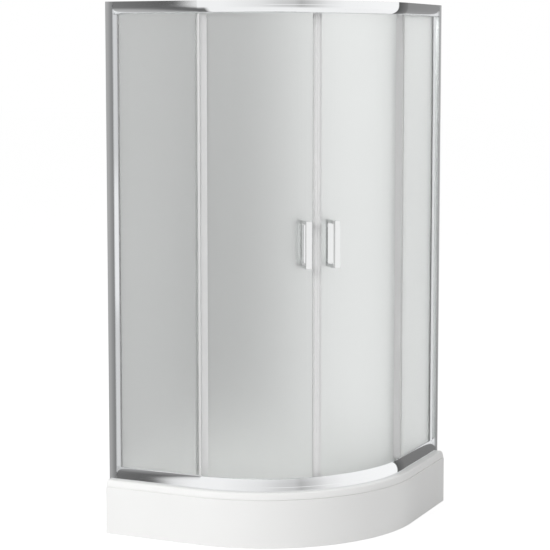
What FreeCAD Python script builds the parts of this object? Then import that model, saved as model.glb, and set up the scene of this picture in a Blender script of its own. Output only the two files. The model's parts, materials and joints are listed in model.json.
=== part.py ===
import FreeCAD, Part
import math
import os

V = FreeCAD.Vector

# A quadrant shower enclosure: frosted glass cabin on a deep acrylic tray, in millimetres.
# X runs along the back wall and Y towards it. The left wall is the plane x = wall_x and the
# back wall is y = -wall_x. The round front faces -Y and +X. The origin is on the floor, in
# the middle of the footprint. The right half mirrors the left half across the diagonal.

# ---------------------------------------------------------------- overall sizes
nominal_width = 900.0          # wall to the outermost face of the rails
overall_height = 1850.0
tray_height = 190.0
apron_overhang = 25.0          # apron face in front of the rails' outermost face
corner_radius = 550.0          # outermost face of the rails on the round front
fit_gap = 0.3                  # between pieces that are slid together

# ---------------------------------------------------------------- rails
rail_height = 43.0
rail_depth = 40.0
rail_face_height = 13.0        # upright part of the outer face, before it rounds inwards
rail_wall = 1.9
rail_base = 2.0
channel_floor = 12.0           # height of the glass channel's floor in the rail
inner_wall_height = 37.0
runner_inset = 37.0            # middle of the lip that the wheels run along
runner_thickness = 2.0
runner_drop = 13.0             # lip's edge below the rail's edge

# ---------------------------------------------------------------- glass
glass_thickness = 5.0
fixed_glass_inset = 18.6       # outer face of the fixed panes behind the rails' outermost face
door_glass_inset = 44.0        # outer face of the doors
gasket_thickness = 1.5
fixed_glass_overrun = 0.5      # fixed pane past the start of the round
door_overlap_angle = 2.5       # door behind the fixed pane, in degrees of the round
door_edge_gap = 5.0            # door glass off the tray and off the rails' top

# ---------------------------------------------------------------- wall and glass profiles
wall_profile_width = 28.5
wall_profile_depth = 40.0
wall_profile_sheet = 1.5
wall_profile_bulge = 1.0       # front flange rounds back by this much towards the wall
glass_profile_setback = 8.0    # glass profile off the wall
glass_profile_reach = 29.5     # its face off the wall
glass_profile_side_gap = 0.5
glass_profile_sheet = 1.5
glass_lip_reach = 10.0         # slim channel past the profile's face
glass_pocket = 13.0            # how deep the pane sits in the profile
wall_hole_radius = 2.6
wall_hole_spacing = 720.0
profile_screw_radius = 1.9
profile_screw_clearance = 0.1
profile_screw_head_radius = 3.4
profile_screw_head = 2.2
profile_screw_length = 8.0
profile_screw_from_wall = 15.7
screw_cap_radius = 5.0
screw_cap_top_radius = 4.0
screw_cap_height = 3.6

# ---------------------------------------------------------------- wheels and what carries them
wheel_radius = 11.0
wheel_width = 11.0
wheel_bore_clearance = 0.05
wheel_hub_radius = 6.0
wheel_recess = 3.0
wheel_chamfer = 0.6
wheel_run_gap = 0.3            # tread off the lip
bolt_radius = 3.0
bolt_head_radius = 5.0
bolt_head = 2.0
bush_flange_radius = 7.0
bush_flange = 1.0
glass_hole_radius = 5.0
bush_clearance = 0.1           # sleeves in the glass's holes
flat_seat_gap = 0.3            # flat pieces off the hollow side of the curved glass
knob_radius = 12.0
knob_length = 9.0
knob_chamfer = 1.5
bolt_nut_radius = 5.0
bolt_nut_length = 3.0
trail_wheel_angle = 12.0       # from the start of the round, doors closed
lead_wheel_angle = 38.0
door_travel_angle = 26.0       # travel along the track, in degrees of the round
stop_gap = 3.0                 # between a wheel's last place and its stop
stop_length = 22.0
stop_lap = 4.0                 # how far a stop reaches up over the lip
stop_door_gap = 5.4
plug_length = 30.0
plug_play = 0.3
rail_screw_radius = 2.0
rail_screw_clearance = 0.1
rail_screw_length = 22.0
rail_screw_head_radius = 3.6
rail_screw_head = 2.4

# ---------------------------------------------------------------- handles
handle_height = 162.0
handle_width = 20.0
handle_projection = 58.0
handle_grip = 10.0
handle_leg = 12.0
handle_back = 5.0
handle_inner_corner = 4.0
handle_outer_corner = 1.5
handle_centre_height = 1033.0
handle_angle = 39.7
handle_washer = 1.0
handle_washer_radius = 8.0
handle_hole_radius = 5.5
handle_screw_spacing = 116.0
handle_screw_radius = 2.0
handle_screw_clearance = 0.1
handle_screw_cover = 0.5       # metal left in front of the screw's tip
handle_screw_head_radius = 3.6
handle_screw_head = 2.4

# ---------------------------------------------------------------- seals
seal_wall = 1.2
magnet_width = 8.0
magnet_gap = 0.4               # between the two magnet faces, doors closed
magnet_proud = 1.4             # magnet block past each glass face
seal_grip = 7.0
fin_reach = 17.0               # fixed seal's fin along the door
fin_door_gap = 5.2
fin_pane_gap = 5.4
seal_end_gap = 0.5

# ---------------------------------------------------------------- tray and apron
tray_skirt = 21.0
seam_gap = 0.6
rim_top_inset = 11.0           # flat top starts this far behind the apron's face
rim_shoulder_inset = 4.5
rim_shoulder_drop = 9.0
rim_nose_inset = 6.5           # a point halfway round the rim's top edge
rim_nose_drop = 3.0
rim_foot_inset = 1.0
rim_slab = 6.0
skirt_thickness = 9.0
basin_rim_margin = 15.0        # flat rim inside the rails
basin_wall_margin = 50.0
basin_depth = 56.0
basin_draft = 14.0
basin_corner = 60.0
basin_lip_radius = 6.0
basin_floor_thickness = 9.0
basin_wall_thickness = 5.0
floor_fall = 4.0
floor_fall_radius = 300.0
apron_thickness = 4.0
apron_lip = 22.0
apron_foot = 14.0
apron_edge_radius = 1.5

# ---------------------------------------------------------------- apron clips
clip_width = 40.0
clip_front = 14.0
clip_back = 30.0
clip_jaw = 4.0
clip_play = 0.3
clip_from_wall = 112.0
clip_spacing = 170.0
clip_angle = 26.0

# ---------------------------------------------------------------- support frame and feet
bar_size = 25.0
bar_sheet = 2.0
bar_length = 800.0
pad_height = 5.0
pad_size = 40.0
foot_from_bar_end = 40.0
foot_radius = 22.0
foot_top_radius = 13.2
foot_height = 14.0
foot_socket = 8.0
stud_radius = 5.0
stud_clearance = 0.1
stud_above_bar = 14.0
nut_across_flats = 17.0
nut_height = 8.0

# ---------------------------------------------------------------- waste trap
waste_from_wall = 232.5
waste_hole_radius = 45.0
waste_flange_radius = 54.0
waste_flange_thickness = 2.0
waste_neck_radius = 43.5
waste_neck_wall = 2.5
waste_neck_length = 24.0
waste_gasket_thickness = 3.0
waste_gasket_radius = 55.0
waste_bowl_radius = 50.0
waste_bowl_wall = 3.0
waste_bowl_bottom = 36.0
waste_brim_height = 6.0
outlet_radius = 25.0
outlet_wall = 2.5
outlet_height = 66.0
outlet_length = 60.0           # from the collar's face to the end
outlet_collar_radius = 29.0
outlet_collar_proud = 2.0      # collar's face past the bowl
cup_radius = 32.0
cup_wall = 2.0
cup_bottom = 50.0
cup_flange_thickness = 2.0
cover_radius = 56.0
cover_wall = 2.5
cover_crown = 5.0
cover_gap = 5.0                # water passes under the cover
cover_rib_radius = 3.0
cover_rib_circle = 38.0

# ---------------------------------------------------------------- places worked out from these
footprint = nominal_width + apron_overhang
wall_x = -footprint / 2
apron_front = wall_x
rail_front = apron_front + apron_overhang
round_x = -(rail_front + corner_radius)
round_y = -round_x
apron_radius = corner_radius + apron_overhang
tray_top = tray_height
rail_end_x = wall_x + glass_profile_reach + fit_gap
channel_front = fixed_glass_inset - gasket_thickness
channel_back = fixed_glass_inset + glass_thickness + gasket_thickness
door_outer = corner_radius - door_glass_inset
door_inner = door_outer - glass_thickness
door_bottom = tray_top + door_edge_gap
door_top = overall_height - door_edge_gap
runner_edge = rail_height - runner_drop
wheel_centre = runner_edge - wheel_run_gap - wheel_radius
wheel_heights = {"lower": tray_top + wheel_centre, "upper": overall_height - wheel_centre}
wheel_angles = {"trail": trail_wheel_angle, "lead": lead_wheel_angle}
wheel_places = {
    level + "_" + end: (height, angle)
    for level, height in wheel_heights.items()
    for end, angle in wheel_angles.items()
}
wheel_mid_radius = corner_radius - runner_inset
lower_rail_top = tray_top + rail_height
upper_rail_bottom = overall_height - rail_height
rail_screw_x = wall_x + glass_profile_reach - glass_profile_sheet

cabin_middle = (tray_top + overall_height) / 2
screw_heights = [cabin_middle + step * wall_hole_spacing for step in (-1, 0, 1)]
profile_screw_x = wall_x + profile_screw_from_wall
profile_face_y = rail_front + wall_profile_depth

handle_screw_heights = [handle_centre_height + side * handle_screw_spacing / 2 for side in (-1, 1)]
flat_face = door_inner - flat_seat_gap
meeting_half_angle = math.degrees((magnet_width + magnet_gap / 2) / door_outer)
door_lead_angle = 45.0 - meeting_half_angle
door_trail_angle = -door_overlap_angle

basin_floor = tray_top - basin_depth
pad_top = basin_floor - basin_floor_thickness
bar_top = pad_top - pad_height
bar_bottom = bar_top - bar_size
foot_reach = bar_length / 2 - foot_from_bar_end
foot_places = [(0, 0), (foot_reach, 0), (-foot_reach, 0), (0, foot_reach), (0, -foot_reach)]

waste_x = wall_x + waste_from_wall
waste_y = -waste_x
waste_floor = basin_floor - floor_fall
bowl_top = pad_top - waste_gasket_thickness


# ---------------------------------------------------------------- helpers

def edges_through(points, place):
    """Lines from point to point; a point with four numbers is an arc: a point on it, then its end."""
    edges = []
    here = place(*points[0])
    for point in points[1:] + points[:1]:
        there = place(*point[-2:])
        if len(point) == 4:
            edges.append(Part.Arc(here, place(*point[:2]), there).toShape())
        elif here.distanceToPoint(there) > 1e-6:
            edges.append(Part.LineSegment(here, there).toShape())
        here = there
    return edges


def face_through(points, place):
    return Part.Face(Part.Wire(edges_through(points, place)))


def fused(solids):
    whole = solids[0]
    for solid in solids[1:]:
        whole = whole.fuse(solid)
    return whole.removeSplitter()


def mirrored(shape):
    """The right-hand twin of a left-hand piece, across the cabin's diagonal."""
    return shape.mirror(V(0, 0, 0), V(1, 1, 0))


def flipped(shape):
    """A piece of the lower rail turned over to its place on the upper rail."""
    return shape.mirror(V(0, 0, (tray_top + overall_height) / 2), V(0, 0, 1))


def around_front(section, start_x):
    """Sweep a section along the left straight, the round and the right straight.

    section(x) gives the face that stands across the left straight at x.
    """
    straight = section(start_x).extrude(V(round_x - start_x, 0, 0))
    bend = section(round_x).revolve(V(round_x, round_y, 0), V(0, 0, 1), 90)
    return fused([straight, bend, mirrored(straight)])


def radial(shape, angle):
    """Turn a piece made along +X, at radius from the round's middle, to its angle on the front."""
    turned = shape.copy()
    turned.rotate(V(0, 0, 0), V(0, 0, 1), angle - 90)
    turned.translate(V(round_x, round_y, 0))
    return turned


def rod(radius, start, length, height):
    """A round bar along the radial line, before radial() turns it."""
    return Part.makeCylinder(radius, length, V(start, 0, height), V(1, 0, 0))


def glass_drill(radius, height):
    """A rod that runs well past both faces of the door glass and of what is clamped on them."""
    return rod(radius, door_inner - glass_thickness, 3 * glass_thickness, height)


def upright_rod(radius, bottom, top, x, y):
    return Part.makeCylinder(radius, top - bottom, V(x, y, bottom))


def ring_sector(inner, outer, angle_from, angle_to, bottom, top):
    """A curved plate about the round's middle, between two angles on the front."""
    middle = (angle_from + angle_to) / 2

    def place(radius, angle):
        turn = math.radians(angle)
        return V(round_x + radius * math.sin(turn), round_y - radius * math.cos(turn), bottom)

    outline = [
        (outer, angle_from),
        (outer, middle, outer, angle_to),
        (inner, angle_to),
        (inner, middle, inner, angle_from),
    ]
    return face_through(outline, place).extrude(V(0, 0, top - bottom))


def wall_place(height):
    """Plan coordinates of the left wall profile: off the wall, then behind the rails' face."""
    return lambda off_wall, inset: V(wall_x + off_wall, rail_front + inset, height)


def upright(points, bottom, top):
    return face_through(points, wall_place(bottom)).extrude(V(0, 0, top - bottom))


def plan_box(x0, x1, y0, y1, z0, z1):
    return Part.makeBox(x1 - x0, y1 - y0, z1 - z0, V(x0, y0, z0))


def tube(outer, inner, bottom, top, x, y):
    return upright_rod(outer, bottom, top, x, y).cut(upright_rod(inner, bottom, top, x, y))


def hexagon(across_flats, bottom, top, x, y):
    reach = across_flats / math.sqrt(3)
    corners = []
    for step in range(7):
        turn = math.radians(60 * step)
        corners.append(V(x + reach * math.cos(turn), y + reach * math.sin(turn), bottom))
    return Part.Face(Part.makePolygon(corners)).extrude(V(0, 0, top - bottom))


def quadrant_wire(inset, wall_gap, height, corner=0.0):
    """The footprint's outline, drawn in by inset on the front and by wall_gap at the walls."""
    left = wall_x + wall_gap
    front = apron_front + inset
    right = -front
    back = -left
    cut = corner * (1 - math.sqrt(0.5))
    points = [(left + corner, front), (round_x, front)]
    reach = (apron_radius - inset) * math.sqrt(0.5)
    points.append((round_x + reach, round_y - reach, right, round_y))
    if corner > 0:
        points.append((right, back - corner))
        points.append((right - cut, back - cut, right - corner, back))
        points.append((left + corner, back))
        points.append((left + cut, back - cut, left, back - corner))
        points.append((left, front + corner))
        points.append((left + cut, front + cut, left + corner, front))
    else:
        points.append((right, back))
        points.append((left, back))
    return Part.Wire(edges_through(points, lambda x, y: V(x, y, height)))


def quadrant_block(inset, wall_gap, bottom, top):
    return Part.Face(quadrant_wire(inset, wall_gap, bottom)).extrude(V(0, 0, top - bottom))


# ---------------------------------------------------------------- tray, apron and clips

def basin_block(growth, top, bottom):
    """The basin's tapered hollow, or, with growth, the outside of its walls."""
    rim_inset = apron_overhang + rail_depth + basin_rim_margin - growth
    wires = []
    for height in (top, bottom):
        drawn_in = basin_draft * (tray_top - height) / basin_depth
        corner = basin_corner - drawn_in + growth
        wall_gap = basin_wall_margin - growth + drawn_in
        wires.append(quadrant_wire(rim_inset + drawn_in, wall_gap, height, corner))
    return Part.makeLoft(wires, True, True)


def make_tray():
    skirt_bottom = tray_top - tray_skirt
    shoulder = tray_top - rim_shoulder_drop
    shell = quadrant_block(rim_foot_inset, 0, skirt_bottom, tray_top)
    relief = [
        (-1, skirt_bottom - 1),
        (rim_foot_inset, skirt_bottom - 1),
        (rim_foot_inset, skirt_bottom),
        (rim_shoulder_inset, shoulder),
        (rim_nose_inset, tray_top - rim_nose_drop, rim_top_inset, tray_top),
        (rim_top_inset, tray_top + 1),
        (-1, tray_top + 1),
    ]

    def section(x):
        return face_through(relief, lambda inset, z: V(x, apron_front + inset, z))

    shell = shell.cut(around_front(section, wall_x - 1))
    pocket_inset = rim_foot_inset + skirt_thickness
    pocket = quadrant_block(pocket_inset, basin_wall_thickness, skirt_bottom, tray_top - rim_slab)
    shell = shell.cut(pocket)
    shell = shell.fuse(basin_block(basin_wall_thickness, tray_top - rim_slab, pad_top))
    shell = shell.cut(basin_block(0, tray_top, basin_floor))
    rim_edges = [edge for edge in shell.Edges if is_basin_rim(edge)]
    shell = shell.makeFillet(basin_lip_radius, rim_edges)
    drain = V(waste_x, waste_y, waste_floor)
    fall = Part.makeCone(waste_hole_radius, floor_fall_radius, floor_fall, drain)
    basin_room = basin_block(-1, tray_top, waste_floor)
    shell = shell.cut(fall.common(basin_room))
    hole = upright_rod(waste_hole_radius, pad_top - 1, tray_top, waste_x, waste_y)
    recess = upright_rod(waste_flange_radius + fit_gap, waste_floor, tray_top, waste_x, waste_y)
    return shell.cut(hole).cut(recess).removeSplitter()


def is_basin_rim(edge):
    """True for the edges where the basin's walls meet the flat rim."""
    box = edge.BoundBox
    inset = apron_overhang + rail_depth
    inside = box.YMin > apron_front + inset and box.XMax < -(apron_front + inset)
    return abs(box.ZMin - tray_top) < 1e-4 and box.ZLength < 1e-4 and inside and box.XMin > wall_x + 1


def make_apron():
    top = tray_top - tray_skirt - seam_gap
    soft = apron_edge_radius
    cut = soft * (1 - math.sqrt(0.5))
    outline = [
        (0, 0),
        (0, top - soft),
        (cut, top - cut, soft, top),
        (apron_lip, top),
        (apron_lip, top - apron_thickness),
        (apron_thickness, top - apron_thickness),
        (apron_thickness, apron_thickness),
        (apron_foot, apron_thickness),
        (apron_foot, 0),
    ]

    def section(x):
        return face_through(outline, lambda inset, z: V(x, apron_front + inset, z))

    return around_front(section, wall_x)


def make_apron_clips():
    slab = tray_top - rim_slab
    lip_top = tray_top - tray_skirt - seam_gap
    lip_bottom = lip_top - apron_thickness
    outline = [
        (clip_front, slab),
        (clip_back, slab),
        (clip_back, lip_bottom - clip_jaw),
        (clip_front, lip_bottom - clip_jaw),
        (clip_front, lip_bottom - clip_play),
        (apron_lip + clip_play, lip_bottom - clip_play),
        (apron_lip + clip_play, lip_top + clip_play),
        (clip_front, lip_top + clip_play),
    ]

    def section(x):
        return face_through(outline, lambda inset, z: V(x, apron_front + inset, z))

    half = []
    for step in range(2):
        half.append(section(wall_x + clip_from_wall + step * clip_spacing).extrude(V(clip_width, 0, 0)))
    span = math.degrees(clip_width / apron_radius)
    bent = section(round_x).revolve(V(round_x, round_y, 0), V(0, 0, 1), span)
    bent.rotate(V(round_x, round_y, 0), V(0, 0, 1), clip_angle - span / 2)
    half.append(bent)
    return Part.makeCompound(half + [mirrored(clip) for clip in half])


# ---------------------------------------------------------------- support frame and feet

def make_support_frame():
    half = bar_length / 2
    side = bar_size / 2
    inner = side - bar_sheet
    outside = [
        plan_box(-half, half, -side, side, bar_bottom, bar_top),
        plan_box(-side, side, -half, half, bar_bottom, bar_top),
    ]
    low = bar_bottom + bar_sheet
    high = bar_top - bar_sheet
    hollow = [
        plan_box(-half, half, -inner, inner, low, high),
        plan_box(-inner, inner, -half, half, low, high),
    ]
    frame = fused(outside).cut(fused(hollow))
    for x, y in foot_places:
        frame = frame.cut(upright_rod(stud_radius + stud_clearance, bar_bottom - 1, low + 1, x, y))
    return frame


def make_frame_pads():
    half = pad_size / 2
    pads = []
    for x, y in foot_places:
        pads.append(plan_box(x - half, x + half, y - half, y + half, bar_top, pad_top))
    return Part.makeCompound(pads)


def make_foot_pads():
    feet = []
    for x, y in foot_places:
        shoe = Part.makeCone(foot_radius, foot_top_radius, foot_height, V(x, y, 0))
        feet.append(shoe.cut(upright_rod(stud_radius, foot_height - foot_socket, foot_height, x, y)))
    return Part.makeCompound(feet)


def make_foot_studs():
    bottom = foot_height - foot_socket
    top = bar_bottom + stud_above_bar
    return Part.makeCompound([upright_rod(stud_radius, bottom, top, x, y) for x, y in foot_places])


def make_foot_nuts():
    nuts = []
    for x, y in foot_places:
        for bottom in (bar_bottom - nut_height, bar_bottom + bar_sheet):
            nut = hexagon(nut_across_flats, bottom, bottom + nut_height, x, y)
            nuts.append(nut.cut(upright_rod(stud_radius, bottom, bottom + nut_height, x, y)))
    return Part.makeCompound(nuts)


# ---------------------------------------------------------------- waste trap

def make_waste_flange():
    bore = waste_neck_radius - waste_neck_wall
    top = waste_floor + waste_flange_thickness
    disc = tube(waste_flange_radius, bore, waste_floor, top, waste_x, waste_y)
    neck = tube(waste_neck_radius, bore, waste_floor - waste_neck_length, waste_floor, waste_x, waste_y)
    return disc.fuse(neck).removeSplitter()


def make_waste_gasket():
    return tube(waste_gasket_radius, waste_neck_radius + fit_gap, bowl_top, pad_top, waste_x, waste_y)


def outlet_rod(radius, length):
    """A round bar from the trap's middle along the outlet."""
    return Part.makeCylinder(radius, length, V(waste_x, waste_y, outlet_height), V(-1, 0, 0))


def make_waste_body():
    collar_face = waste_bowl_radius + outlet_collar_proud
    reach = collar_face + outlet_length
    body = upright_rod(waste_bowl_radius, waste_bowl_bottom, bowl_top, waste_x, waste_y)
    brim_bottom = bowl_top - waste_brim_height
    body = body.fuse(upright_rod(waste_gasket_radius, brim_bottom, bowl_top, waste_x, waste_y))
    for radius, length in ((outlet_collar_radius, collar_face), (outlet_radius, reach)):
        body = body.fuse(outlet_rod(radius, length))
    floor = waste_bowl_bottom + waste_bowl_wall
    room = upright_rod(waste_neck_radius + fit_gap, floor, bowl_top, waste_x, waste_y)
    bore = outlet_rod(outlet_radius - outlet_wall, reach)
    return body.cut(room).cut(bore).removeSplitter()


def make_waste_cup():
    seat = waste_floor - waste_neck_length
    wall = tube(cup_radius, cup_radius - cup_wall, cup_bottom, seat, waste_x, waste_y)
    low = seat - cup_flange_thickness
    brim = tube(waste_neck_radius, cup_radius - cup_wall, low, seat, waste_x, waste_y)
    return wall.fuse(brim).removeSplitter()


def make_waste_cover():
    base = waste_floor + waste_flange_thickness + cover_gap
    top = base + cover_wall + cover_crown
    edge = base + cover_wall / 2
    dome = (cover_radius ** 2 + (top - edge) ** 2) / (2 * (top - edge))
    halfway = cover_radius / 2
    profile = [
        (0, base),
        (cover_radius - cover_wall, base),
        (cover_radius - cover_wall, base - cover_gap / 2),
        (cover_radius, base - cover_gap / 2),
        (cover_radius, edge),
        (halfway, top - dome + math.sqrt(dome ** 2 - halfway ** 2), 0, top),
    ]
    face = face_through(profile, lambda r, z: V(waste_x + r, waste_y, z))
    cover = face.revolve(V(waste_x, waste_y, 0), V(0, 0, 1), 360)
    for step in range(3):
        turn = math.radians(120 * step)
        x = waste_x + cover_rib_circle * math.cos(turn)
        y = waste_y + cover_rib_circle * math.sin(turn)
        foot = waste_floor - waste_flange_thickness
        cover = cover.fuse(Part.makeCylinder(cover_rib_radius, edge - foot, V(x, y, foot)))
    return cover.removeSplitter()


# ---------------------------------------------------------------- rails and what sits in them

def shell_arc(offset, inset):
    """The rounded face, offset inwards: its circle's middle, radius, and height at an inset."""
    rise = rail_height - rail_face_height
    radius = (channel_front ** 2 + rise ** 2) / (2 * channel_front)
    inner = radius - offset
    height = rail_face_height + math.sqrt(inner ** 2 - (radius - inset) ** 2)
    return radius, inner, height


def arc_between(offset, inset):
    """A point halfway along the rounded face, then the point at the given inset."""
    radius, inner, height = shell_arc(offset, inset)
    sweep = math.atan2(height - rail_face_height, radius - inset)
    middle = (radius - inner * math.cos(sweep / 2), rail_face_height + inner * math.sin(sweep / 2))
    return middle + (inset, height)


def rail_section(x):
    """The lower rail's section: rounded hollow shell, glass channel, then shelf with its lip."""
    runner_front = runner_inset - runner_thickness / 2
    runner_back = runner_inset + runner_thickness / 2
    back = channel_back + rail_wall
    front = channel_front - rail_wall
    outline = [
        (0, 0),
        (0, rail_face_height),
        arc_between(0, channel_front),
        (channel_front, channel_floor),
        (channel_back, channel_floor),
        (channel_back, inner_wall_height),
        (runner_back, inner_wall_height),
        (runner_back, runner_edge),
        (runner_front, runner_edge),
        (runner_front, inner_wall_height - runner_thickness),
        (back, inner_wall_height - runner_thickness),
        (back, rail_base),
        (rail_depth, rail_base),
        (rail_depth, 0),
    ]
    cavity = [
        (rail_wall, rail_base),
        (rail_wall, rail_face_height),
        arc_between(rail_wall, front),
        (front, channel_floor - rail_base),
        (channel_back, channel_floor - rail_base),
        (channel_back, rail_base),
    ]

    def place(inset, z):
        return V(x, rail_front + inset, tray_top + z)

    return face_through(outline, place).cut(face_through(cavity, place)).Faces[0]


def make_lower_rail():
    return around_front(rail_section, rail_end_x)


def make_channel_gaskets():
    """A liner round the lower and upper edge of each fixed pane, in the rails' channels."""
    outline = [
        (channel_front, channel_floor),
        (channel_front, rail_height),
        (fixed_glass_inset, rail_height),
        (fixed_glass_inset, channel_floor + gasket_thickness),
        (fixed_glass_inset + glass_thickness, channel_floor + gasket_thickness),
        (fixed_glass_inset + glass_thickness, inner_wall_height),
        (channel_back, inner_wall_height),
        (channel_back, channel_floor),
    ]
    face = face_through(outline, lambda inset, z: V(rail_end_x, rail_front + inset, tray_top + z))
    liner = face.extrude(V(round_x + fixed_glass_overrun - rail_end_x, 0, 0))
    half = [liner, flipped(liner)]
    return Part.makeCompound(half + [mirrored(piece) for piece in half])


def make_door_stops():
    """Blocks hung on the lip behind the trailing wheels' last place."""
    past_round = math.radians(door_travel_angle - trail_wheel_angle) * wheel_mid_radius
    near = round_x - past_round - wheel_radius - stop_gap
    front = runner_inset - wheel_width / 2
    back = door_glass_inset - stop_door_gap
    low = tray_top + wheel_centre - wheel_radius / 2
    lip_edge = tray_top + runner_edge
    high = lip_edge + stop_lap
    far = near - stop_length
    block = plan_box(far, near, rail_front + front, rail_front + back, low, high)
    lip_y = rail_front + runner_inset
    half_lip = runner_thickness / 2
    block = block.cut(plan_box(far, near, lip_y - half_lip, lip_y + half_lip, lip_edge, high))
    half = [block, flipped(block)]
    return Part.makeCompound(half + [mirrored(piece) for piece in half])


def make_rail_plugs():
    """Blocks in the rails' hollow ends, which take the screws through the glass profiles."""
    y0 = rail_front + rail_wall + plug_play
    y1 = rail_front + channel_back - plug_play
    z0 = tray_top + rail_base + plug_play
    z1 = tray_top + channel_floor - rail_base - plug_play
    plug = plan_box(rail_end_x, rail_end_x + plug_length, y0, y1, z0, z1)
    plug = plug.cut(rail_screw_bar(rail_screw_radius, plug_length))
    half = [plug, flipped(plug)]
    return Part.makeCompound(half + [mirrored(piece) for piece in half])


def rail_screw_bar(radius, length, before=0.0):
    """The line of a rail screw: through the glass profile's face, along the rail's hollow."""
    place = V(rail_screw_x - before, rail_front + channel_front / 2, tray_top + channel_floor / 2)
    return Part.makeCylinder(radius, length, place, V(1, 0, 0))


def make_rail_screws():
    head = rail_screw_bar(rail_screw_head_radius, rail_screw_head, rail_screw_head)
    screw = head.fuse(rail_screw_bar(rail_screw_radius, rail_screw_length)).removeSplitter()
    half = [screw, flipped(screw)]
    return Part.makeCompound(half + [mirrored(piece) for piece in half])


# ---------------------------------------------------------------- wall side of the fixed panes

def make_wall_profile():
    sheet = wall_profile_sheet
    width = wall_profile_width
    depth = wall_profile_depth
    dome = wall_profile_bulge
    outline = [
        (0, dome),
        (width / 2, dome / 4, width, 0),
        (width, dome + sheet),
        (sheet, dome + sheet),
        (sheet, depth - sheet),
        (width, depth - sheet),
        (width, depth),
        (0, depth),
    ]
    profile = upright(outline, tray_top, overall_height)
    for height in screw_heights:
        place = V(wall_x - sheet / 2, rail_front + depth / 2, height)
        profile = profile.cut(Part.makeCylinder(wall_hole_radius, 2 * sheet, place, V(1, 0, 0)))
        profile = profile.cut(profile_screw_bar(profile_screw_radius + profile_screw_clearance, height))
    return profile


def profile_screw_bar(radius, height):
    """The line of an adjusting screw, through the inner flange into the glass profile."""
    place = V(profile_screw_x, profile_face_y, height)
    return Part.makeCylinder(radius, profile_screw_length, place, V(0, -1, 0))


def make_glass_profile():
    sheet = glass_profile_sheet
    near = glass_profile_setback
    face = glass_profile_reach
    front = wall_profile_bulge + wall_profile_sheet + glass_profile_side_gap
    back = wall_profile_depth - wall_profile_sheet - glass_profile_side_gap
    pocket = face - glass_pocket
    outside = [(near, front), (face, front), (face, back), (near, back)]
    hollow = [
        (near + sheet, front + sheet),
        (face - sheet, front + sheet),
        (face - sheet, channel_front - sheet),
        (pocket - sheet, channel_front - sheet),
        (pocket - sheet, channel_back + sheet),
        (face - sheet, channel_back + sheet),
        (face - sheet, back - sheet),
        (near + sheet, back - sheet),
    ]
    slot = [(pocket, channel_front), (face, channel_front), (face, channel_back), (pocket, channel_back)]
    box = upright(outside, tray_top, overall_height)
    for room in (hollow, slot):
        box = box.cut(upright(room, tray_top, overall_height))
    end = face + glass_lip_reach
    low = lower_rail_top + seal_end_gap
    high = upper_rail_bottom - seal_end_gap
    lips = []
    for inner, outer in ((channel_front - sheet, channel_front), (channel_back, channel_back + sheet)):
        lips.append(upright([(face, inner), (end, inner), (end, outer), (face, outer)], low, high))
    profile = fused([box] + lips)
    for height in screw_heights:
        profile = profile.cut(profile_screw_bar(profile_screw_radius, height))
    hole = rail_screw_bar(rail_screw_radius + rail_screw_clearance, 2 * sheet)
    return profile.cut(hole).cut(flipped(hole))


def make_profile_screws():
    screws = []
    for height in screw_heights:
        place = V(profile_screw_x, profile_face_y, height)
        head = Part.makeCylinder(profile_screw_head_radius, profile_screw_head, place, V(0, 1, 0))
        screws.append(head.fuse(profile_screw_bar(profile_screw_radius, height)).removeSplitter())
    return Part.makeCompound(screws + [mirrored(screw) for screw in screws])


def make_screw_caps():
    caps = []
    for height in screw_heights:
        place = V(profile_screw_x, profile_face_y, height)
        cap = Part.makeCone(screw_cap_radius, screw_cap_top_radius, screw_cap_height, place, V(0, 1, 0))
        room = Part.makeCylinder(profile_screw_head_radius, profile_screw_head, place, V(0, 1, 0))
        caps.append(cap.cut(room))
    return Part.makeCompound(caps + [mirrored(cap) for cap in caps])


def make_fixed_glass():
    start = glass_profile_reach - glass_pocket + gasket_thickness
    end = round_x + fixed_glass_overrun - wall_x
    front = fixed_glass_inset
    back = fixed_glass_inset + glass_thickness
    bottom = tray_top + channel_floor + gasket_thickness
    top = overall_height - channel_floor - gasket_thickness
    return upright([(start, front), (end, front), (end, back), (start, back)], bottom, top)


def make_profile_gasket():
    """Two strips that wedge the pane in the glass profile, one on each face."""
    start = glass_profile_reach - glass_pocket
    end = glass_profile_reach + glass_lip_reach
    low = lower_rail_top + seal_end_gap
    high = upper_rail_bottom - seal_end_gap
    pane_back = fixed_glass_inset + glass_thickness
    strips = []
    for inner, outer in ((channel_front, fixed_glass_inset), (pane_back, channel_back)):
        strips.append(upright([(start, inner), (end, inner), (end, outer), (start, outer)], low, high))
    return Part.makeCompound(strips)


def make_fixed_seal():
    """Clip on the pane's free edge with a fin that reaches back towards the door."""
    edge = round_x + fixed_glass_overrun - wall_x
    front = fixed_glass_inset
    back = fixed_glass_inset + glass_thickness
    web = edge + seal_wall
    tip = door_glass_inset - fin_door_gap
    outline = [
        (edge - seal_grip, front),
        (edge, front),
        (edge, back),
        (edge - seal_grip, back),
        (edge - seal_grip, back + seal_wall),
        (edge, back + seal_wall),
        (web + fin_reach - seal_wall, tip),
        (web + fin_reach, tip),
        (web, back - seal_wall),
        (web, front - seal_wall),
        (edge - seal_grip, front - seal_wall),
    ]
    return upright(outline, lower_rail_top + seal_end_gap, upper_rail_bottom - seal_end_gap)


# ---------------------------------------------------------------- doors

def make_door_glass():
    glass = ring_sector(door_inner, door_outer, door_trail_angle, door_lead_angle, door_bottom, door_top)
    for height, angle in wheel_places.values():
        glass = glass.cut(radial(glass_drill(glass_hole_radius, height), angle))
    for height in handle_screw_heights:
        glass = glass.cut(radial(glass_drill(handle_hole_radius, height), handle_angle))
    return glass


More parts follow.
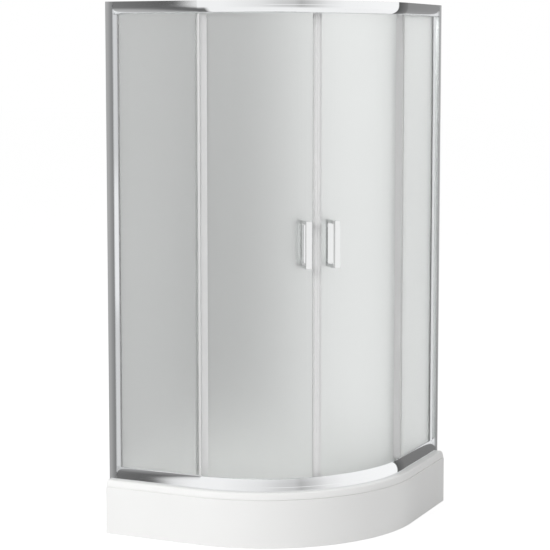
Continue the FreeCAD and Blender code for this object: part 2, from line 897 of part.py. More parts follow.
def make_wheel(height, angle):
    start = wheel_mid_radius - wheel_width / 2
    whole = rod(wheel_radius, start, wheel_width, height)
    rims = [edge for edge in whole.Edges if edge.Curve.TypeId == "Part::GeomCircle"]
    whole = whole.makeChamfer(wheel_chamfer, rims)
    whole = whole.cut(rod(bolt_radius + wheel_bore_clearance, start, wheel_width, height))
    recess = rod(wheel_hub_radius, start + wheel_width - wheel_recess, wheel_recess, height)
    return radial(whole.cut(recess), angle)


def make_roller_bolts():
    bolts = []
    seat = wheel_mid_radius + wheel_width / 2 - wheel_recess + fit_gap
    tail = flat_face - knob_length - bolt_nut_length
    for height, angle in wheel_places.values():
        bolt = rod(bolt_radius, tail, seat - tail, height)
        bolt = bolt.fuse(rod(bolt_head_radius, seat, bolt_head, height)).removeSplitter()
        bolts.append(radial(bolt, angle))
    return Part.makeCompound(bolts)


def make_roller_bushes():
    bushes = []
    for height, angle in wheel_places.values():
        sleeve = rod(glass_hole_radius - bush_clearance, flat_face, door_outer - flat_face, height)
        bush = sleeve.fuse(rod(bush_flange_radius, door_outer, bush_flange, height))
        bush = bush.cut(glass_drill(bolt_radius, height))
        bushes.append(radial(bush.removeSplitter(), angle))
    return Part.makeCompound(bushes)


def make_roller_knobs():
    """Clamp knobs and their nuts on the cabin side of the glass."""
    knobs = []
    knob_end = flat_face - knob_length
    nut_end = knob_end - bolt_nut_length
    for height, angle in wheel_places.values():
        knob = rod(knob_radius, knob_end, knob_length, height)
        end_rim = [edge for edge in knob.Edges if edge.BoundBox.XMax < knob_end + knob_chamfer]
        knob = knob.makeChamfer(knob_chamfer, end_rim)
        knob = knob.fuse(rod(bolt_nut_radius, nut_end, bolt_nut_length, height))
        knob = knob.cut(rod(bolt_radius, nut_end, flat_face - nut_end, height))
        knobs.append(radial(knob.removeSplitter(), angle))
    return Part.makeCompound(knobs)


def handle_loop(near, direction):
    """A rectangular loop on one side of the glass; direction is +1 outside and -1 inside."""
    half = handle_height / 2
    bottom = handle_centre_height - half
    start = near if direction > 0 else near - handle_projection
    side = handle_width / 2
    whole = plan_box(start, start + handle_projection, -side, side, bottom, bottom + handle_height)
    long_edges = [edge for edge in whole.Edges if edge.BoundBox.YLength > handle_width / 2]
    whole = whole.makeFillet(handle_outer_corner, long_edges)
    back = handle_back if direction > 0 else handle_grip
    front = handle_grip if direction > 0 else handle_back
    low = bottom + handle_leg
    high = bottom + handle_height - handle_leg
    room = plan_box(start + back, start + handle_projection - front, -side, side, low, high)
    corners = [edge for edge in room.Edges if edge.BoundBox.YLength > handle_width / 2]
    room = room.makeFillet(handle_inner_corner, corners)
    return whole.cut(room)


def make_outer_handle():
    near = door_outer + handle_washer
    loop = handle_loop(near, 1)
    for height in handle_screw_heights:
        loop = loop.cut(rod(handle_screw_radius, near, handle_back - handle_screw_cover, height))
    return radial(loop, handle_angle)


def make_inner_handle():
    near = flat_face - handle_washer
    loop = handle_loop(near, -1)
    hole = handle_screw_radius + handle_screw_clearance
    for height in handle_screw_heights:
        loop = loop.cut(rod(hole, near - handle_back, handle_back, height))
    return radial(loop, handle_angle)


def make_handle_bushes():
    """Clear washers on both faces of the glass, with a sleeve through its hole."""
    bushes = []
    sleeve_radius = handle_hole_radius - bush_clearance
    for height in handle_screw_heights:
        outer_washer = rod(handle_washer_radius, door_outer, handle_washer, height)
        inner_washer = rod(handle_washer_radius, flat_face - handle_washer, handle_washer, height)
        sleeve = rod(sleeve_radius, flat_face, door_outer - flat_face, height)
        bush = fused([outer_washer, sleeve, inner_washer]).cut(glass_drill(handle_screw_radius, height))
        bushes.append(radial(bush, handle_angle))
    return Part.makeCompound(bushes)


def make_handle_screws():
    screws = []
    seat = flat_face - handle_washer - handle_back
    tip = door_outer + handle_washer + handle_back - handle_screw_cover
    for height in handle_screw_heights:
        head = rod(handle_screw_head_radius, seat - handle_screw_head, handle_screw_head, height)
        screw = head.fuse(rod(handle_screw_radius, seat, tip - seat, height))
        screws.append(radial(screw.removeSplitter(), handle_angle))
    return Part.makeCompound(screws)


def make_magnet_seal():
    """Clip on the door's leading edge that holds the magnet bar at the meeting line."""
    lead = door_lead_angle
    grip = lead - math.degrees(seal_grip / door_outer)
    meeting = 45.0 - math.degrees(magnet_gap / 2 / door_outer)
    span = (door_bottom, door_top)
    outer_clip = ring_sector(door_outer, door_outer + seal_wall, grip, lead, *span)
    inner_clip = ring_sector(door_inner - seal_wall, door_inner, grip, lead, *span)
    magnet = ring_sector(door_inner - magnet_proud, door_outer + magnet_proud, lead, meeting, *span)
    return fused([outer_clip, inner_clip, magnet])


def make_edge_seal():
    """Clip on the door's trailing edge with a fin towards the fixed pane."""
    trail = door_trail_angle
    grip = trail + math.degrees(seal_grip / door_outer)
    end = trail - math.degrees(seal_wall / door_outer)
    span = (door_bottom, door_top)
    outer_clip = ring_sector(door_outer, door_outer + seal_wall, trail, grip, *span)
    inner_clip = ring_sector(door_inner - seal_wall, door_inner, trail, grip, *span)
    web = ring_sector(door_inner - seal_wall, door_outer + seal_wall, end, trail, *span)
    fin_tip = corner_radius - fixed_glass_inset - glass_thickness - fin_pane_gap
    fin_span = (lower_rail_top + seal_end_gap, upper_rail_bottom - seal_end_gap)
    fin = ring_sector(door_outer + seal_wall, fin_tip, end, trail, *fin_span)
    return fused([outer_clip, inner_clip, web, fin])


# ---------------------------------------------------------------- the whole enclosure

def make_pieces():
    lower_rail = make_lower_rail()
    pieces = {
        "tray": make_tray(),
        "apron": make_apron(),
        "apron_clips": make_apron_clips(),
        "support_frame": make_support_frame(),
        "frame_pads": make_frame_pads(),
        "foot_pads": make_foot_pads(),
        "foot_studs": make_foot_studs(),
        "foot_nuts": make_foot_nuts(),
        "waste_flange": make_waste_flange(),
        "waste_gasket": make_waste_gasket(),
        "waste_body": make_waste_body(),
        "waste_cup": make_waste_cup(),
        "waste_cover": make_waste_cover(),
        "lower_rail": lower_rail,
        "upper_rail": flipped(lower_rail),
        "channel_gaskets": make_channel_gaskets(),
        "door_stops": make_door_stops(),
        "rail_plugs": make_rail_plugs(),
        "rail_screws": make_rail_screws(),
        "profile_screws": make_profile_screws(),
        "screw_caps": make_screw_caps(),
    }
    handed = {
        "wall_profile": make_wall_profile(),
        "glass_profile": make_glass_profile(),
        "fixed_glass": make_fixed_glass(),
        "profile_gasket": make_profile_gasket(),
        "fixed_seal": make_fixed_seal(),
        "door_glass": make_door_glass(),
        "roller_bolts": make_roller_bolts(),
        "roller_bushes": make_roller_bushes(),
        "roller_knobs": make_roller_knobs(),
        "outer_handle": make_outer_handle(),
        "inner_handle": make_inner_handle(),
        "handle_bushes": make_handle_bushes(),
        "handle_screws": make_handle_screws(),
        "magnet_seal": make_magnet_seal(),
        "edge_seal": make_edge_seal(),
    }
    for name, (height, angle) in wheel_places.items():
        handed["wheel_" + name] = make_wheel(height, angle)
    for name, shape in handed.items():
        pieces[name + "_left"] = shape
        pieces[name + "_right"] = mirrored(shape)
    return pieces


os.makedirs("parts", exist_ok=True)
for name, shape in make_pieces().items():
    shape.exportStep("parts/" + name + ".step")
    print(name, len(shape.Solids), "solids, volume", round(shape.Volume), "valid", shape.isValid())
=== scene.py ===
# %% [markdown]
# # Quadrant shower enclosure
# A round-fronted shower cabin stands on a white tray. Two straight frosted panes meet the walls, two
# curved frosted doors slide behind them, and bright rails and upright profiles hold the glass. The
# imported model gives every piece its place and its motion. This notebook gives each piece its finished
# mesh and its material, one cell at a time. All lengths are in metres.

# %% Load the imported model
import json
import math

import bmesh
import bpy
from mathutils import Matrix, Vector

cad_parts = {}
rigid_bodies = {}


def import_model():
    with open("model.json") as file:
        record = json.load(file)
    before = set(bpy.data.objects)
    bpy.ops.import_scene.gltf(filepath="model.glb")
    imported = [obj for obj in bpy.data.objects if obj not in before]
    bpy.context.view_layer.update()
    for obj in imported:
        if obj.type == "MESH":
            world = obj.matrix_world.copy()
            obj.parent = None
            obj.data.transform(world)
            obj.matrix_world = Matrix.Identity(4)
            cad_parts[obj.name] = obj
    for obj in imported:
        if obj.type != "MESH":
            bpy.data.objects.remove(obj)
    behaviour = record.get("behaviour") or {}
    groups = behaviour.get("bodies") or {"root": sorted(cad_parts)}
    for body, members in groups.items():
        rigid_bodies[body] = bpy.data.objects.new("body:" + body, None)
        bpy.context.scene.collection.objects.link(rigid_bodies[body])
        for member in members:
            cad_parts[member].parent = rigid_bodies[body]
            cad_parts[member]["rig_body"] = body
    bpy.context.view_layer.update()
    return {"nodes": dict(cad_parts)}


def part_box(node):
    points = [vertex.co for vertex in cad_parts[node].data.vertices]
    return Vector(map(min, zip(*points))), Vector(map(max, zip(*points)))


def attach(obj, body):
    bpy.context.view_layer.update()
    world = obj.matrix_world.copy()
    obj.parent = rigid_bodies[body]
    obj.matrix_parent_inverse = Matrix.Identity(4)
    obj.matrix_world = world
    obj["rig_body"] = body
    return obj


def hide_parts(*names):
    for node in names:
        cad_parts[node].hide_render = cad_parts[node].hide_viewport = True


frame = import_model()

# %% [markdown]
# ## Places read from the model
# The left wall is the plane x = wall_x. The front is round about one upright line, and the right half
# mirrors the left half across the diagonal, so most pieces are made once and reflected. Angles on the
# front run from 0 degrees, where the left straight ends, to 90 degrees, where the right one starts.

# %% Sizes and places
mm = 0.001
tray_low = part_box("tray")[0]
rail_low, rail_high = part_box("lower_rail")
wall_x = tray_low.x
apron_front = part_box("apron")[0].y
tray_top = rail_low.z
rail_front = rail_low.y
rail_start_x = rail_low.x
rail_height = rail_high.z - rail_low.z
cabin_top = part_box("upper_rail")[1].z
corner_radius = 550 * mm
round_x = -(rail_front + corner_radius)
round_y = -round_x
round_centre = Vector((round_x, round_y, 0))
bend_steps = 60
print("cabin", round(cabin_top, 3), "high, round front's middle", tuple(round_centre))

# %% [markdown]
# ## Small helpers for colours and nodes
# Colours are written as they look on a screen, as sRGB hex, and Blender works with linear light, so one
# function turns them. A second one adds a shader node, sets its values and links its sockets. Noise
# whose scale is given in millimetres then varies the gloss and the colour, as no real surface is even.

# %% Colours
def linear(hex_code):
    """Turn an sRGB hex colour into linear RGBA."""
    channels = [int(hex_code[start:start + 2], 16) / 255 for start in (1, 3, 5)]
    return [c / 12.92 if c <= 0.04045 else ((c + 0.055) / 1.055) ** 2.4 for c in channels] + [1.0]


# %% Nodes
def add_node(tree, kind, inputs=None, into=None, **settings):
    """Add a node; an input given as another node's output is linked, any other value is set.

    Its first output is linked into a socket, if one is given.
    """
    node = tree.nodes.new(kind)
    for name, value in settings.items():
        setattr(node, name, value)
    for socket, value in (inputs or {}).items():
        if isinstance(value, bpy.types.NodeSocket):
            tree.links.new(value, node.inputs[socket])
        else:
            node.inputs[socket].default_value = value
    if into:
        tree.links.new(node.outputs[0], into)
    return node


def start_material(name, colour, **sockets):
    """A Principled material with its plain values set on the shader's own sockets."""
    material = bpy.data.materials.new(name)
    material.use_nodes = True
    shader = material.node_tree.nodes["Principled BSDF"]
    shader.inputs["Base Color"].default_value = linear(colour)
    for socket, value in sockets.items():
        shader.inputs[socket.replace("_", " ")].default_value = value
    return material, material.node_tree, shader


# %% Patterns and what they vary
def pattern(tree, size, stretch=(1, 1, 1), detail=2.0):
    """Noise whose features are about `size` metres across, stretched along an axis by a small factor."""
    place = add_node(tree, "ShaderNodeTexCoord").outputs["Object"]
    turned = add_node(tree, "ShaderNodeMapping", {"Vector": place, "Scale": stretch})
    inputs = {"Vector": turned.outputs["Vector"], "Scale": 1 / size, "Detail": detail}
    return add_node(tree, "ShaderNodeTexNoise", inputs).outputs["Fac"]


def vary_roughness(tree, shader, factor, low, high):
    """Spread a 0 to 1 pattern, which mostly stays near its middle, over the gloss from low to high."""
    inputs = {"Value": factor, "From Min": 0.3, "From Max": 0.7, "To Min": low, "To Max": high}
    add_node(tree, "ShaderNodeMapRange", inputs, into=shader.inputs["Roughness"])


def vary_colour(tree, shader, factor, first, second):
    """Blend two colours by a 0 to 1 pattern."""
    mix = add_node(tree, "ShaderNodeMix", {"Factor": factor}, data_type="RGBA")
    mix.inputs[6].default_value = linear(first)
    mix.inputs[7].default_value = linear(second)
    tree.links.new(mix.outputs[2], shader.inputs["Base Color"])


# %% [markdown]
# ## White acrylic of the tray and apron
# A tray is a cast acrylic sheet, softened and drawn over a mould by vacuum, with a backing behind it.
# Its face is smooth with a soft gloss, and both the gloss and the white change a very little over
# hands' breadths, as on any drawn sheet.

# %% Acrylic
acrylic, tree, shader = start_material("acrylic, vacuum drawn", "#F6F6F5", Roughness=0.34, IOR=1.49)
# Soft, slow changes in the gloss and the white keep the wide faces from looking like paper.
slow = pattern(tree, 150 * mm, detail=0.0)
vary_roughness(tree, shader, slow, 0.31, 0.37)
vary_colour(tree, shader, slow, "#F5F5F4", "#F7F7F6")
print("made", acrylic.name)

# %% [markdown]
# ## Frosted glass
# The panes are toughened glass with one face etched in acid. Light goes through and spreads, so shapes
# behind are soft blurs. The etch has a grain of about 0.1 mm, too fine to show, so its unevenness
# is drawn at a few millimetres. The cut edges are ground and polished, and look like pale, dull lines.

# %% Glass
glass, tree, shader = start_material(
    "float glass, acid etched", "#F7F9F8", Roughness=0.5, IOR=1.5, Transmission_Weight=1.0)
# The uneven etch gives the blur a quiet life of its own.
etch = pattern(tree, 5 * mm, detail=4.0)
vary_roughness(tree, shader, etch, 0.46, 0.54)

glass_edge, tree, shader = start_material(
    "float glass, ground and polished edge", "#F8FBF9", Roughness=0.4, IOR=1.45, Transmission_Weight=0.4)
# The grinding leaves short strokes of uneven gloss, so the edge never shines as one clean line.
vary_roughness(tree, shader, pattern(tree, 2 * mm), 0.34, 0.48)
print("made", glass.name, "and", glass_edge.name)

# %% [markdown]
# ## Bright aluminium of the rails and profiles
# The rails and uprights are extruded aluminium, polished and plated bright. Extrusion leaves faint
# lines along the length. On the rails these lie at one height all the way round, so the pattern there
# is read from the height alone. On the uprights it is read across, and is the same at every height.

# %% Aluminium
def plated_aluminium(name, stretch):
    """Bright plate over an extrusion whose lines the stretch draws out."""
    material, tree, shader = start_material(name, "#F7F8F9", Metallic=1.0, Roughness=0.03)
    lines = pattern(tree, 0.7 * mm, stretch)
    vary_roughness(tree, shader, lines, 0.02, 0.05)
    # Lines a thousandth of a millimetre deep break up the edges of the reflections.
    relief = {"Height": lines, "Distance": 0.001 * mm}
    add_node(tree, "ShaderNodeBump", relief, into=shader.inputs["Normal"])
    return material


rail_metal = plated_aluminium("aluminium, extruded, lines along the rail", (0.001, 0.001, 1))
upright_metal = plated_aluminium("aluminium, extruded, lines up the profile", (1, 1, 0.001))
print("made", rail_metal.name, "and", upright_metal.name)

# %% [markdown]
# ## Chromed zinc and brass
# The handles are cast in zinc and the waste's cover and flange are turned from brass. Both are ground,
# polished and chromed, which gives a bright, neutral mirror with the faint waves of hand polishing.

# %% Chrome
def chrome(name, wave):
    """Chrome over a casting or a turning, with polishing waves this far apart."""
    material, tree, shader = start_material(name, "#F4F5F5", Metallic=1.0, Roughness=0.04)
    waves = pattern(tree, wave)
    vary_roughness(tree, shader, waves, 0.03, 0.07)
    # The waves are a hundredth of a millimetre deep, so straight things look a little bent in it.
    relief = {"Height": waves, "Distance": 0.01 * mm, "Strength": 0.6}
    add_node(tree, "ShaderNodeBump", relief, into=shader.inputs["Normal"])
    return material


handle_metal = chrome("zinc, cast and chromed", 9 * mm)
waste_metal = chrome("brass, turned and chromed", 14 * mm)
print("made", handle_metal.name, "and", waste_metal.name)

# %% [markdown]
# ## Seals, rubber and moulded plastics
# The seals are soft clear PVC, extruded, a little milky where they are thick. The washers and pads are
# grey rubber with a matt skin. Stops, caps and clips are white ABS with a fine spark texture from
# the mould, and the wheels are turned nylon, off-white and waxy.

# %% Clear seals
clear_pvc, tree, shader = start_material(
    "PVC, soft and clear, extruded", "#FEFEFE", Roughness=0.38, IOR=1.45, Transmission_Weight=0.35)
# Faint streaks run up the extrusion, and make the light in it ripple.
vary_roughness(tree, shader, pattern(tree, 1.5 * mm, (1, 1, 0.02)), 0.3, 0.44)
print("made", clear_pvc.name)

# %% Rubber
rubber, tree, shader = start_material("EPDM rubber, moulded", "#7B7E80", Roughness=0.75, IOR=1.5)
# The skin's grain breaks up the little gloss that rubber has.
grain = pattern(tree, 0.8 * mm)
vary_colour(tree, shader, grain, "#74777A", "#83868A")
relief = {"Height": grain, "Distance": 0.05 * mm, "Strength": 0.5}
add_node(tree, "ShaderNodeBump", relief, into=shader.inputs["Normal"])
print("made", rubber.name)

# %% Moulded and turned plastics
abs_white, tree, shader = start_material("ABS, injection moulded", "#E9E9E6", Roughness=0.42, IOR=1.53)
spark = pattern(tree, 0.5 * mm)
vary_roughness(tree, shader, spark, 0.36, 0.5)
# The spark texture scatters the gloss into a fine sparkle.
relief = {"Height": spark, "Distance": 0.02 * mm, "Strength": 0.5}
add_node(tree, "ShaderNodeBump", relief, into=shader.inputs["Normal"])

nylon, tree, shader = start_material(
    "nylon, turned", "#EFEDE4", Roughness=0.35, IOR=1.53, Subsurface_Weight=0.1)
# Light sinks a little way into nylon, which gives the tyres their waxy look.
shader.inputs["Subsurface Radius"].default_value = (2 * mm, 1.8 * mm, 1.5 * mm)
vary_roughness(tree, shader, pattern(tree, 0.4 * mm), 0.3, 0.42)

pipe_plastic, tree, shader = start_material("polypropylene, moulded", "#DADCDC", Roughness=0.4, IOR=1.49)
flow = pattern(tree, 12 * mm)
# The melt's flow leaves soft clouds about 12 mm across.
vary_colour(tree, shader, flow, "#D6D8D9", "#DFE1E0")
relief = {"Height": pattern(tree, 0.6 * mm), "Distance": 0.02 * mm, "Strength": 0.5}
add_node(tree, "ShaderNodeBump", relief, into=shader.inputs["Normal"])
print("made", abs_white.name, "and", nylon.name, "and", pipe_plastic.name)

# %% [markdown]
# ## Steel under the tray and in the screws
# The frame is square tube dipped in zinc, which freezes in flat crystals about 10 mm across, the
# spangle. The screws, bolts and studs are bright zinc-plated steel with the lines of turning.

# %% Galvanised steel
galvanised, tree, shader = start_material(
    "steel, hot dip galvanised", "#AEB3B6", Metallic=1.0, Roughness=0.45)
place = add_node(tree, "ShaderNodeTexCoord").outputs["Object"]
spangle = 10 * mm
crystals = add_node(tree, "ShaderNodeTexVoronoi", {"Vector": place, "Scale": 1 / spangle})
shade = add_node(tree, "ShaderNodeSeparateColor", {"Color": crystals.outputs["Color"]}).outputs["Red"]
# Each crystal catches the light a little differently.
vary_colour(tree, shader, shade, "#A3A8AC", "#BEC3C5")
inputs = {"Value": shade, "To Min": 0.38, "To Max": 0.55}
add_node(tree, "ShaderNodeMapRange", inputs, into=shader.inputs["Roughness"])
print("made", galvanised.name)

# %% Turned and ground steel
screw_steel, tree, shader = start_material(
    "steel, bright zinc plated", "#C9CDCF", Metallic=1.0, Roughness=0.25)
# Turning leaves lines too fine to show, so the gloss changes over half a millimetre instead.
vary_roughness(tree, shader, pattern(tree, 0.5 * mm), 0.18, 0.34)
bearing_steel, tree, shader = start_material(
    "steel, ground bearing ring", "#B9BCBF", Metallic=1.0, Roughness=0.2)
vary_roughness(tree, shader, pattern(tree, 0.4 * mm), 0.14, 0.28)
print("made", len(bpy.data.materials), "materials with the model's own")

# %% [markdown]
# ## Helpers for the pieces
# Every new piece is a bmesh: a drawn line or a simple shape that operators pull, spin and bevel. The
# last step is the same for all: merge doubles, turn the faces outwards, shade smooth but keep the
# sharp corners, and hang the piece on the body of the node that it stands for.

# %% Finishing a piece
crease = math.radians(32)
still_flat = math.radians(0.1)
same_place = 1e-6


def make_object(name, bm, *materials):
    """Turn a bmesh into an object of the scene with these materials."""
    mesh = bpy.data.meshes.new(name)
    bm.to_mesh(mesh)
    bm.free()
    for material in materials:
        mesh.materials.append(material)
    made = bpy.data.objects.new(name, mesh)
    bpy.context.scene.collection.objects.link(made)
    return made


def finish_piece(bm, name, node, material, edge_material=None, is_edge=None):
    """Turn the bmesh into an object that stands for a node and moves with the node's body."""
    bmesh.ops.remove_doubles(bm, verts=bm.verts, dist=same_place / 2)
    bmesh.ops.recalc_face_normals(bm, faces=bm.faces)
    for face in bm.faces:
        face.smooth = True
        if is_edge and is_edge(face):
            face.material_index = 1
    for edge in bm.edges:
        edge.smooth = edge.is_manifold and edge.calc_face_angle() < crease
    open_edges = sum(not edge.is_manifold for edge in bm.edges)
    materials = [material, edge_material] if edge_material else [material]
    piece = make_object(name, bm, *materials)
    steady = piece.modifiers.new("steady normals", "WEIGHTED_NORMAL")
    steady.keep_sharp = True
    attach(piece, frame["nodes"][node]["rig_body"])
    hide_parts(node)
    print(name, len(piece.data.polygons), "faces", "OPEN %d" % open_edges if open_edges else "closed")


# %% Rounding edges
def round_over(bm, edges, radius, segments):
    """Round these edges to a radius."""
    bmesh.ops.bevel(
        bm, geom=edges, offset=radius, segments=segments, affect="EDGES", profile=0.5, material=-1,
        clamp_overlap=True)


def soften(bm, radius, segments=2, sharper_than=35):
    """Round all the sharp edges, as polishing and moulding do."""
    limit = math.radians(sharper_than)
    edges = [edge for edge in bm.edges if edge.is_manifold and edge.calc_face_angle() > limit]
    round_over(bm, edges, radius, segments)


def copy_solid(node):
    """A merged copy of a node's own mesh, with each flat face in one piece again."""
    bm = bmesh.new()
    bm.from_mesh(frame["nodes"][node].data)
    bmesh.ops.remove_doubles(bm, verts=bm.verts, dist=same_place)
    bmesh.ops.dissolve_limit(bm, angle_limit=still_flat, verts=bm.verts, edges=bm.edges)
    return bm


# %% [markdown]
# ## Drawing, pulling and reflecting
# An extruded piece starts as its section: a closed line of a few corners and arcs. The line is pulled
# along the left straight, spun round the bend and pulled along the right straight, which is how the
# real rail runs. Pieces of the right half are drawn as left ones and reflected across the diagonal.

# %% Lines and arcs
across_diagonal = Matrix(((0, -1, 0, 0), (-1, 0, 0, 0), (0, 0, 1, 0), (0, 0, 0, 1)))
upside_down = Matrix.Translation((0, 0, tray_top + cabin_top)) @ Matrix.Scale(-1, 4, (0, 0, 1))
arc_steps = 10


def verts_of(geom):
    return [item for item in geom if isinstance(item, bmesh.types.BMVert)]


def corners_of(edges):
    """The corners of these edges, each once and always in the same order."""
    return list(dict.fromkeys(vert for edge in edges for vert in edge.verts))


def edges_of(geom):
    """The edges that lie wholly in this geometry's own corners."""
    verts = set(verts_of(geom))
    return [item for item in geom if isinstance(item, bmesh.types.BMEdge) and set(item.verts) <= verts]


def draw(bm, place, corners, axis):
    """A closed line. A corner is a point, or (middle, turn) for an arc from the last point about it."""
    first = here = bm.verts.new(place(*corners[0]))
    before = set(bm.edges)
    for corner in corners[1:]:
        if isinstance(corner[0], tuple):
            middle, turn = corner
            swung = bmesh.ops.spin(
                bm, geom=[here], cent=place(*middle), axis=axis, angle=turn, steps=arc_steps)
            here = verts_of(swung["geom_last"])[0]
        else:
            there = bm.verts.new(place(*corner))
            bm.edges.new((here, there))
            here = there
    bm.edges.new((here, first))
    return [edge for edge in bm.edges if edge not in before]


# %% Pulling and closing
def pull(bm, edges, step):
    """Extrude a line by a step and give the far line."""
    out = bmesh.ops.extrude_edge_only(bm, edges=edges)["geom"]
    bmesh.ops.translate(bm, vec=step, verts=verts_of(out))
    return edges_of(out)


def fill(bm, edges):
    """Close a ring of edges with flat faces."""
    bmesh.ops.triangle_fill(bm, edges=edges, use_beauty=True)


def sweep_front(bm, section, start_x, rounding, segments=2):
    """Pull a section along the left straight, round the bend and along the right straight.

    The long edges are rounded while both ends are still open, and then the ends are closed.
    """
    straight = round_x - start_x
    bend = pull(bm, section, (straight, 0, 0))
    spun = bmesh.ops.spin(
        bm, geom=corners_of(bend) + bend, cent=round_centre, axis=(0, 0, 1), angle=math.pi / 2,
        steps=bend_steps)["geom_last"]
    pull(bm, edges_of(spun), (0, straight, 0))
    bmesh.ops.remove_doubles(bm, verts=bm.verts, dist=same_place)
    soften(bm, rounding, segments)
    rims = [edge for edge in bm.edges if edge.is_boundary]
    for at_start in (True, False):
        fill(bm, [edge for edge in rims if (edge.verts[0].co.x < round_x) == at_start])


def stand_up(bm, outline, bottom, top):
    """Pull a plan outline, drawn at the bottom, up to the top and close both ends."""
    lid = pull(bm, outline, (0, 0, top - bottom))
    fill(bm, outline)
    fill(bm, lid)


# %% Reflecting and turning
def reflect(bm, matrix):
    """Move the whole piece by a reflection."""
    bmesh.ops.transform(bm, matrix=matrix, verts=bm.verts)


def to_front(bm, angle):
    """Turn a piece made along +X, at its radius from the round's middle, to its angle on the front."""
    bmesh.ops.rotate(
        bm, cent=(0, 0, 0), matrix=Matrix.Rotation(math.radians(angle - 90), 3, "Z"), verts=bm.verts)
    bmesh.ops.translate(bm, vec=round_centre, verts=bm.verts)


# %% [markdown]
# ## Rails
# Each rail is one aluminium extrusion. Seen from its end it has an upright face, a rounded brow that
# leans in to the glass channel, the channel itself, and a shelf with a lip for the wheels. The
# section is drawn once. The upper rail is the same one turned over.

# %% The rails' section
glass_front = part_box("fixed_glass_left")[0].y - rail_front
glass_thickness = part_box("fixed_glass_left")[1].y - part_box("fixed_glass_left")[0].y
gasket = 1.5 * mm
channel_front = glass_front - gasket
channel_back = glass_front + glass_thickness + gasket
channel_floor = 12 * mm
rail_face = 13 * mm
rail_sheet = 1.9 * mm
rail_base = 2 * mm
shelf_height = 37 * mm
lip_edge = 30 * mm
lip_thickness = 2 * mm
rail_depth = 40 * mm
lip_middle = 37 * mm
rise = rail_height - rail_face
brow_radius = (channel_front ** 2 + rise ** 2) / (2 * channel_front)
rail_round = 0.4 * mm
print("brow radius", round(brow_radius / mm, 1), "mm")


def brow(offset, inset):
    """The rounded brow as an arc about its middle, offset inwards, up to an inset behind the face."""
    turn = math.acos((brow_radius - inset) / (brow_radius - offset))
    return ((brow_radius, rail_face), -turn)


def draw_rail(bm):
    """The rail's outline and its hollow, seen from its end."""
    def place(inset, height):
        return (rail_start_x, rail_front + inset, tray_top + height)

    lip_front = lip_middle - lip_thickness / 2
    lip_back = lip_middle + lip_thickness / 2
    shelf_low = shelf_height - lip_thickness
    outside = [
        (0, 0), (0, rail_face), brow(0, channel_front), (channel_front, channel_floor),
        (channel_back, channel_floor), (channel_back, shelf_height), (lip_back, shelf_height),
        (lip_back, lip_edge), (lip_front, lip_edge), (lip_front, shelf_low),
        (channel_back + rail_sheet, shelf_low), (channel_back + rail_sheet, rail_base),
        (rail_depth, rail_base), (rail_depth, 0),
    ]
    hollow_front = channel_front - rail_sheet
    hollow = [
        (rail_sheet, rail_base), (rail_sheet, rail_face), brow(rail_sheet, hollow_front),
        (hollow_front, channel_floor - rail_base), (channel_back, channel_floor - rail_base),
        (channel_back, rail_base),
    ]
    return draw(bm, place, outside, (1, 0, 0)) + draw(bm, place, hollow, (1, 0, 0))


# %% Both rails
for name in ("lower_rail", "upper_rail"):
    bm = bmesh.new()
    sweep_front(bm, draw_rail(bm), rail_start_x, rail_round)
    if name == "upper_rail":
        reflect(bm, upside_down)
    finish_piece(bm, name + "_bright", name, rail_metal)

# %% [markdown]
# ## Tray
# The tray is one drawn sheet: a skirt, a rim that rounds over its nose, a flat ledge under the rails,
# a softly rounded lip, walls that lean in, and a floor that falls to the waste. Every level of it is
# the same quadrant outline drawn in by some amount, so the tray is a stack of rings, bridged one to
# the next and closed underneath, and the lip and the floor's edge are bevelled round.

# %% A ring with the tray's outline
corner_steps = 10
straight_cuts = 5


def quadrant_ring(bm, inset, wall_gap, corner, height):
    """The footprint drawn in by inset on the front and by wall_gap at the walls."""
    left = wall_x + wall_gap
    front = apron_front + inset
    right = -front
    back = -left
    arcs = [
        ((round_x, round_y), (round_x, front), bend_steps),
        ((right - corner, back - corner), (right, back - corner), corner_steps),
        ((left + corner, back - corner), (left + corner, back), corner_steps),
        ((left + corner, front + corner), (left, front + corner), corner_steps),
    ]
    before = set(bm.edges)
    starts = []
    ends = []
    for middle, start, steps in arcs:
        starts.append(bm.verts.new((*start, height)))
        swung = bmesh.ops.spin(
            bm, geom=[starts[-1]], cent=(*middle, 0), axis=(0, 0, 1), angle=math.pi / 2, steps=steps)
        ends.append(verts_of(swung["geom_last"])[0])
    runs = [bm.edges.new(pair) for pair in zip(ends, starts[1:] + starts[:1])]
    bmesh.ops.subdivide_edges(bm, edges=runs, cuts=straight_cuts)
    return [edge for edge in bm.edges if edge not in before]


def bridge(bm, first, second):
    """Join two rings. The second is lowered meanwhile, as rings at one height can be matched askew."""
    corners = corners_of(second)
    bmesh.ops.translate(bm, vec=(0, 0, -1), verts=corners)
    bmesh.ops.bridge_loops(bm, edges=first + second)
    bmesh.ops.translate(bm, vec=(0, 0, 1), verts=corners)
    return second


# %% The tray's sizes
skirt = 21 * mm
wall_corner = 1.5 * mm
